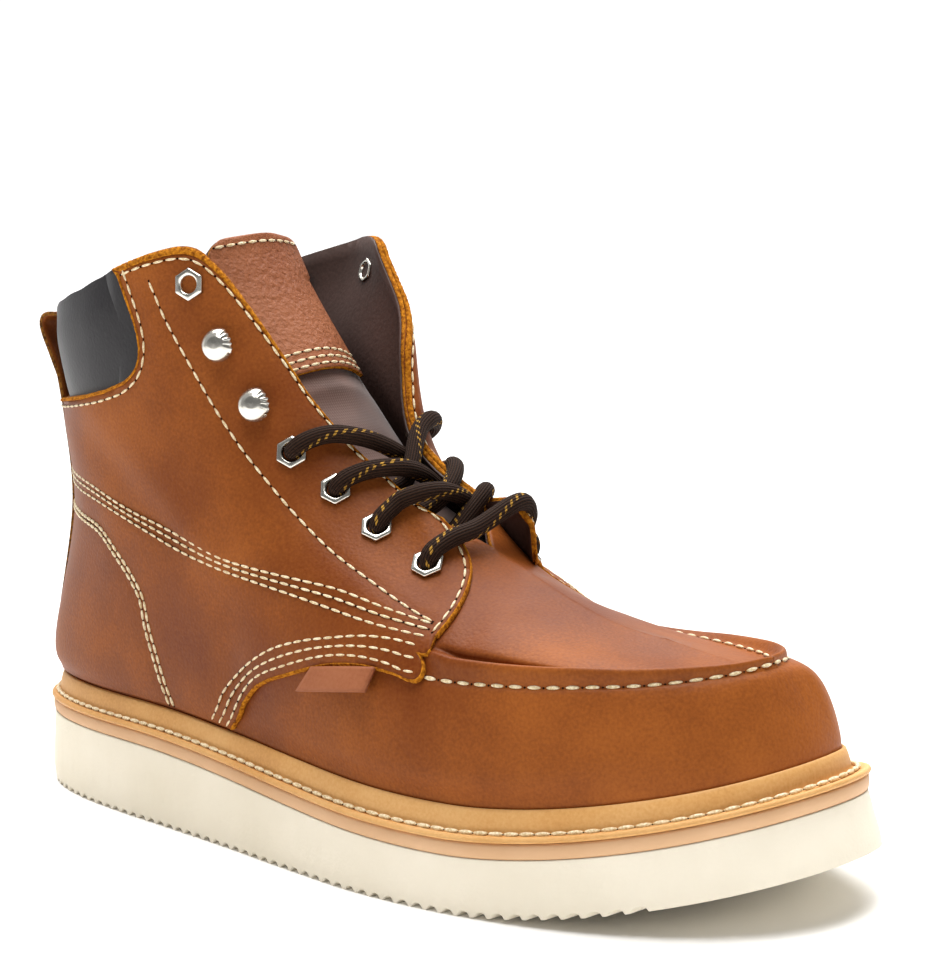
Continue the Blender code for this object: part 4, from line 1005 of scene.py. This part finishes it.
def makeBackStrip():
    fine = np.linspace(0, 2.6, 105)
    heights = np.linspace(0.12, 0.79, 24)
    spread = np.linspace(-1, 1, 13) * strap["half"]
    outer = []
    for v in heights:
        line = skin(-1, fine, np.full(len(fine), v))
        rows = np.interp(np.abs(spread), -line[:, 1], fine)
        side = np.where(spread <= 0, -1, 1)
        lift = np.full(len(spread), form["step"] + strap["seat"] + strap["thick"])
        outer.append(onEither(side, rows, np.full(len(rows), v), lift))
    table = smoothTable(np.arange(len(loopTable)), loopTable, np.linspace(0, len(loopTable) - 1, 34))
    t = unit(np.gradient(table[:, :2], axis=0))
    for (x, z, bow), (tx, tz) in zip(table, t):
        facing = np.array([-tz, 0, tx])
        sag = (bow * (spread / strap["half"]) ** 2)[:, None]
        outer.append(np.array([(x, y, z) for y in spread]) - facing * sag)
    outer = np.array(outer)
    rows, columns = outer.shape[:2]
    bm = bmesh.new()
    pick = lambda q, count: np.round(q * (count - 1)).astype(int)
    shape = lambda u, w: outer[pick(u, rows), pick(w, columns)]
    gridShape(bm, rows - 1, columns - 1, shape)
    # the strip's rim takes the darkened cut edge: painted shade, not a darker hide
    piece = finishPiece("backStrip", bm, [cowhide, shadedStripEdge], ["back_strip"])
    heading = Vector(piece.data.polygons[0].normal)
    solid = thicken(piece, strap["thick"], 1)
    solid.offset = -1 if heading.x < 0 else 1
    print("back strip made")


# Tongue: x, z of its middle, half width, sag of its sides
tongueTable = np.array([
    (205.0, 79.1, 11.0, 3.9), (197.0, 82.0, 13.2, 5.4), (187.0, 86.8, 15.6, 6.2), (172.0, 95.5, 17.6, 6.2),
    (157.0, 105.8, 19.0, 6.8), (143.0, 117.5, 20.0, 6.8), (131.0, 130.0, 21.0, 6.6),
    (124.0, 138.2, 21.0, 6.5), (108.5, 158.0, 20.5, 6.2), (99.0, 172.5, 18.0, 5.0),
    (96.0, 179.5, 12.0, 2.6),
])
tonguePiece = dict(thick=3.0, patchFrom=7.0, patchThick=1.2, gap=0.3)


def tongueSpots(index, k, lift):
    table = smoothTable(np.arange(len(tongueTable)), tongueTable, index)
    slope = np.gradient(tongueTable[:, :2], axis=0)
    t = unit(smoothTable(np.arange(len(tongueTable)), slope, index))
    facing = np.column_stack([t[:, 1], np.zeros(len(t)), -t[:, 0]])
    corner = 12 + 8.3 * np.sqrt(np.clip(1 - ((index - 8.6) / 1.4) ** 2, 0, 1))
    half = np.where(index > 8.6, corner, table[:, 2])
    p = np.column_stack([table[:, 0], half * k, table[:, 1]])
    return p + facing * (lift - table[:, 3] * k ** 2)[:, None]


def tongueLift(index, k):
    # slack folds across the cloth below the patch
    fold = 0.7 * np.sin(index * 5.1 + 0.8 * k) * ease(7.2, 6.4, index) * (1 - k ** 2)
    return fold + 0.4 * np.sin(k * 3.4 + index)


def makeTongue():
    last = len(tongueTable) - 1
    bm = bmesh.new()
    cloth = lambda index, k: tongueSpots(index, k, tongueLift(index, k) - 0.4)
    gridShape(bm, 110, 34, lambda u, w: cloth(u * last, 2 * w - 1))
    tongue = finishPiece("tongueCloth", bm, [tongueCloth], ["tongue"])
    solid = thicken(tongue, tonguePiece["thick"] - 0.6, 0)
    start = tonguePiece["patchFrom"]
    bm = bmesh.new()
    height = tonguePiece["gap"] + tonguePiece["patchThick"]
    cover = lambda index, k: tongueSpots(index, k, height + 0.4 * np.sin(k * 3.4 + start))
    gridShape(bm, 50, 34, lambda u, w: cover(start + u * (last - start), 2 * w - 1))
    patch = finishPiece("tonguePatch", bm, [patchHide, rawEdge], ["tongue_patch"])
    shell = thicken(patch, tonguePiece["patchThick"], 1)
    for piece, wall in ((tongue, solid), (patch, shell)):
        wall.offset = -1 if piece.data.polygons[0].normal.z > 0 else 1
    k = np.linspace(-0.96, 0.96, 120)
    runs = []
    for index in (start + 0.09, start + 0.20, start + 0.31, last - 0.42):
        spots, ahead = (cover(np.full(len(k), i), k) for i in (index, index - 0.05))
        normals = unit(np.cross(np.gradient(spots, axis=0), ahead - spots))
        normals *= np.where(normals[:, 2:] < 0, -1, 1)
        runs.append(sewAlong(spots, normals, 4.0, 0.8))
    sew("tongueThread", runs, 0.5)
    print("tongue made")


# Hardware: section row, height, seat over the leather
eyeletTable = [(12.75, 0.783, 0.45), (11.37, 0.799, 0.25), (10.30, 0.825, 0.2), (9.05, 0.828, 0.15),
               (6.07, 0.946, 0.1)]
hookTable = [(8.03, 0.851, 0.15), (7.01, 0.889, 0.15)]
hexagon = dict(reach=5.0, hole=2.5, top=1.3)
# radius, height of the turned dome
domeProfile = [(0.0, 5.6), (1.9, 5.35), (3.4, 4.6), (4.6, 3.5), (5.15, 2.4), (5.2, 1.8), (4.8, 1.5),
               (3.2, 1.3), (3.0, 0.0)]


def hardwareFrame(side, row, v):
    # place on a facing, upwards along it, across it and out of it
    rows, heights = row + np.array([0, 0.05, -0.05, 0, 0]), v + np.array([0, 0, 0, 0.005, -0.005])
    p, ahead, behind, above, below = onSkin(side, rows, heights, flare(side, rows, heights))
    n = unit(np.cross(ahead - behind, above - below) * -side)
    upwards = unit(np.array([0, 0, 1.0]) - n * n[2])
    return p, upwards, np.cross(n, upwards), n


def turnedShape(profile, place, reach):
    p, a, b, n = place
    profile = np.asarray(profile, float)
    steps = np.linspace(0, 1, len(profile))

    def shape(u, w):
        t = u * 2 * np.pi
        r, h = np.interp(w, steps, profile[:, 0]), np.interp(w, steps, profile[:, 1])
        r = r * reach(t, r)
        return p + np.outer(r * np.cos(t), a) + np.outer(r * np.sin(t), b) + np.outer(h, n)

    return shape


def hexReach(t, r):
    corner = np.cos(np.pi / 6) / np.cos((t % (np.pi / 3)) - np.pi / 6)
    share = np.clip((r - 3.0) / 1.2, 0, 1)
    return 1 + (np.minimum(corner, 0.985) - 1) * share


def makeHardware():
    top, hole, reach = hexagon["top"], hexagon["hole"], hexagon["reach"]
    plate = [(reach, 0.0), (reach, 0.75 * top), (reach - 0.35, 0.98 * top), (reach - 1.0, top),
             (hole + 1.1, 1.05 * top), (hole + 0.45, 0.95 * top), (hole + 0.1, 0.6 * top), (hole, 0.0),
             (hole, -4.2), (hole + 0.4, -4.5), (hole + 1.5, -4.3), (hole + 1.5, -4.0), (hole + 0.35, -3.9),
             (hole + 0.35, 0.0), (reach, 0.0)]
    for name, side in (("outer", -1), ("inner", 1)):
        for i, (row, v, seat) in enumerate(eyeletTable):
            p, a, b, n = hardwareFrame(side, row, v)
            bm = bmesh.new()
            gridShape(bm, 96, len(plate) - 1,
                      turnedShape(plate, (p + n * (form["step"] + seat), a, b, n), hexReach))
            finishPiece(f"eyelet.{name}.{i + 1}", bm, [nickel], [f"eyelet_{name}_{i + 1}"])
        for i, (row, v, seat) in enumerate(hookTable):
            p, a, b, n = hardwareFrame(side, row, v)
            bm = bmesh.new()
            mouth = lambda t: np.exp(-(np.sin((t - side * 1.2) / 2) / 0.34) ** 4)
            bite = lambda t, r: 1 - (0.14 + 0.05 * np.sin(t * 18)) * mouth(t) * (r > 3.0)
            gridShape(bm, 72, 30, turnedShape(domeProfile, (p + n * (form["step"] + seat), a, b, n), bite))
            finishPiece(f"hook.{name}.{i + 1}", bm, [nickel], [f"hook_{name}_{i + 1}"])
    print("hardware made")


# Lace: one cord from eyelet to eyelet; radius where it shows and where it is hidden, both in millimetres
lace = dict(radius=2.7, hidden=1.4, sides=16, step=0.7)


def overFacing(side, index, edgeRow, edgeHeight=0.99):
    # from a facing's edge over the leather and down into an eyelet
    row, v = eyeletTable[index][:2]
    wide = lace["radius"]
    spots = []
    rise = (4.8, 4.6, 4.4, 4.4) if side < 0 else (3.4, 3.6, 3.9, 4.2)
    for share, lift in zip((0.0, 0.25, 0.55, 0.86), rise):
        there = edgeRow + (row - edgeRow) * share
        spots.append((side, there, edgeHeight + (v - edgeHeight) * share, lift, wide))
    return spots + [(side, row, v, 3.0, 2.35), (side, row, v, 0.4, 2.0), (side, row, v, -2.8, lace["hidden"])]


def underFacing(side, index, edgeRow):
    # from an eyelet along the inside of a facing and out at its edge
    row, v = eyeletTable[index][:2]
    spots = []
    for share, lift, radius in ((0.3, -4.2, lace["hidden"]), (0.75, -4.6, 2.0), (1.0, -5.0, 2.6)):
        spots.append((side, row + (edgeRow - row) * share, v + (0.985 - v) * share, lift, radius))
    return spots


def laceSpots():
    near = underFacing(-1, 0, 13.35) + overFacing(1, 1, 12.75) + underFacing(1, 1, 12.1)
    near += overFacing(-1, 2, 11.9) + underFacing(-1, 2, 11.95) + overFacing(1, 3, 10.95)
    far = underFacing(1, 0, 13.0) + overFacing(-1, 1, 12.65) + underFacing(-1, 1, 12.62)
    far += overFacing(1, 2, 12.05) + underFacing(1, 2, 11.4) + overFacing(-1, 3, 11.0)
    bar = overFacing(-1, 0, 13.52, 0.955)[::-1] + overFacing(1, 0, 13.3, 0.96)
    return near[::-1] + bar + far


def makeLace():
    spots = np.array(laceSpots())
    side, row, v = spots[:, 0], spots[:, 1], spots[:, 2]
    lift = spots[:, 3] + np.where(side > 0, flare(1, row, v), 0)
    way = onEither(side, row, v, lift)
    length = runLength(way)
    along = np.linspace(0, length[-1], int(length[-1] / lace["step"]))
    path = smoothTable(length, way, along)
    for turn in range(6):
        path[1:-1] = 0.5 * path[1:-1] + 0.25 * (path[:-2] + path[2:])
    radius = np.interp(along, length, spots[:, 4])
    radius[[0, -1]] = 0
    travel = runLength(path)
    heading = unit(np.gradient(path, axis=0))
    first = unit(np.cross(heading[0], (0, 0, 1.0)))
    axes = []
    for t in heading:
        first = unit(first - t * (first @ t))
        axes.append(first)
    axes = np.array(axes)
    others = np.cross(heading, axes)
    count = len(path) - 1

    def shape(u, w):
        i = np.round(u * count).astype(int)
        c, s = np.cos(2 * np.pi * w)[:, None], np.sin(2 * np.pi * w)[:, None]
        return path[i] + (axes[i] * c + others[i] * s) * radius[i][:, None]

    bm = bmesh.new()
    gridShape(bm, count, lace["sides"], shape, travel)
    nodes = [f"lace_bar_{i}" for i in (1, 2, 3, 4)]
    finishPiece("lace", bm, [laceBraid], nodes)
    print("lace made")


# Side tab, bare: corners as section row and height
tabCorners = np.array([(9.50, 0.437), (11.64, 0.475), (11.37, 0.426), (9.01, 0.387)])


def makeTab():
    a, b, c, d = tabCorners

    def shape(u, w):
        q = (a + np.outer(u, b - a)) * (1 - w)[:, None] + (d + np.outer(u, c - d)) * w[:, None]
        return onSkin(-1, q[:, 0], q[:, 1], form["step"] + 1.0 + 1.5 * w)

    bm = bmesh.new()
    gridShape(bm, 24, 8, shape)
    tab = finishPiece("sideTab", bm, [tabHide, tabHide], ["side_tab"])
    thicken(tab, 1.2, 1).offset = -1 if tab.data.polygons[0].normal.y < 0 else 1
    print("tab made")


makeUpper()
makeRawEdge()
makeStitching()
makeOutsole()
makeWelt()
makeCollarPad()
makeBackStrip()
makeTongue()
makeHardware()
makeLace()
makeTab()

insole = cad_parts["insole"]
insole.data.materials.clear()
insole.data.materials.append(insoleCloth)

# Camera at the photograph's angle; places in the boot's millimetres
view = dict(turn=41.82, height=7.69, roll=-1.56, distance=648.31, focal=2168.45, sideways=-21.29,
            upwards=-13.96, look=(153, 0, 90), sensor=36, pixels=976)


def makeCamera():
    a, e, r = (math.radians(view[k]) for k in ("turn", "height", "roll"))
    right = np.array([math.cos(a), math.sin(a), 0])
    back = np.array([math.sin(a) * math.cos(e), -math.cos(a) * math.cos(e), math.sin(e)])
    up = np.cross(back, right)
    right, up = right * math.cos(r) + up * math.sin(r), up * math.cos(r) - right * math.sin(r)
    spot = np.array(view["look"]) - right * view["sideways"] - up * view["upwards"] + back * view["distance"]
    data = bpy.data.cameras.new("photoCamera")
    data.sensor_width = view["sensor"]
    data.lens = view["focal"] * view["sensor"] / view["pixels"]
    camera = bpy.data.objects.new("photoCamera", data)
    bpy.context.scene.collection.objects.link(camera)
    turn = Matrix((right, up, back)).transposed().to_4x4()
    camera.matrix_world = Matrix.Translation(toWorld(spot)) @ turn
    bpy.context.scene.camera = camera


# Soft light: name, kind, place in metres, power, angle or size
studio = dict(
    sweep=(-0.64, 0.48, 0.60), room=0.39, white=1.10, aim=(0.0, 0.0, 0.06),
    lamps=[("skyLight", "SUN", (-0.28, 0.31, 0.91), 4.2, 1.0),
           ("toeBox", "AREA", (0.14, -0.16, 1.35), 13.0, 0.7)],
)


def makeStudio():
    bm = bmesh.new()
    bmesh.ops.create_grid(bm, x_segments=1, y_segments=1, size=6.0)
    mesh = bpy.data.meshes.new("studioFloor")
    bm.to_mesh(mesh)
    bm.free()
    floor = bpy.data.objects.new("studioFloor", mesh)
    bpy.context.scene.collection.objects.link(floor)
    paper, tree, shader = newMaterial("floorPaper", Base_Color=linear("#f6f5f3"), Roughness=0.9)
    mesh.materials.append(paper)
    # a white sweep behind and above, the darker room in front
    world = bpy.data.worlds.new("studio")
    world.use_nodes = True
    tree = world.node_tree
    place = addNode(tree, "TexCoord").outputs["Generated"]
    toSweep = addNode(tree, "VectorMath", {0: place, 1: studio["sweep"]}, operation="DOT_PRODUCT")
    glow = addNode(tree, "MapRange", {"Value": toSweep.outputs["Value"], "From Min": 0.25, "From Max": 0.66,
                                      "To Min": studio["room"], "To Max": studio["white"]},
                   interpolation_type="SMOOTHSTEP")
    height = addNode(tree, "SeparateXYZ", {"Vector": place})
    dim = addNode(tree, "MapRange", {"Value": height.outputs["Z"], "From Min": 0.12, "From Max": 0.40,
                                     "To Min": 1.0, "To Max": 0.5})
    both = addNode(tree, "Math", {0: glow, 1: dim}, operation="MULTIPLY")
    setInputs(tree, tree.nodes["Background"], {"Color": (1.0, 1.0, 1.0, 1.0), "Strength": both})
    bpy.context.scene.world = world
    for name, kind, spot, power, size in studio["lamps"]:
        data = bpy.data.lights.new(name, kind)
        data.energy = power
        if kind == "SUN":
            data.angle = size
        else:
            data.size = size
        lamp = bpy.data.objects.new(name, data)
        bpy.context.scene.collection.objects.link(lamp)
        turn = (Vector(spot) - Vector(studio["aim"])).to_track_quat("Z", "Y").to_matrix().to_4x4()
        lamp.matrix_world = Matrix.Translation(spot) @ turn
    bpy.context.scene.view_settings.view_transform = "Standard"


makeCamera()
makeStudio()
print("camera and light made")

bpy.context.view_layer.update()
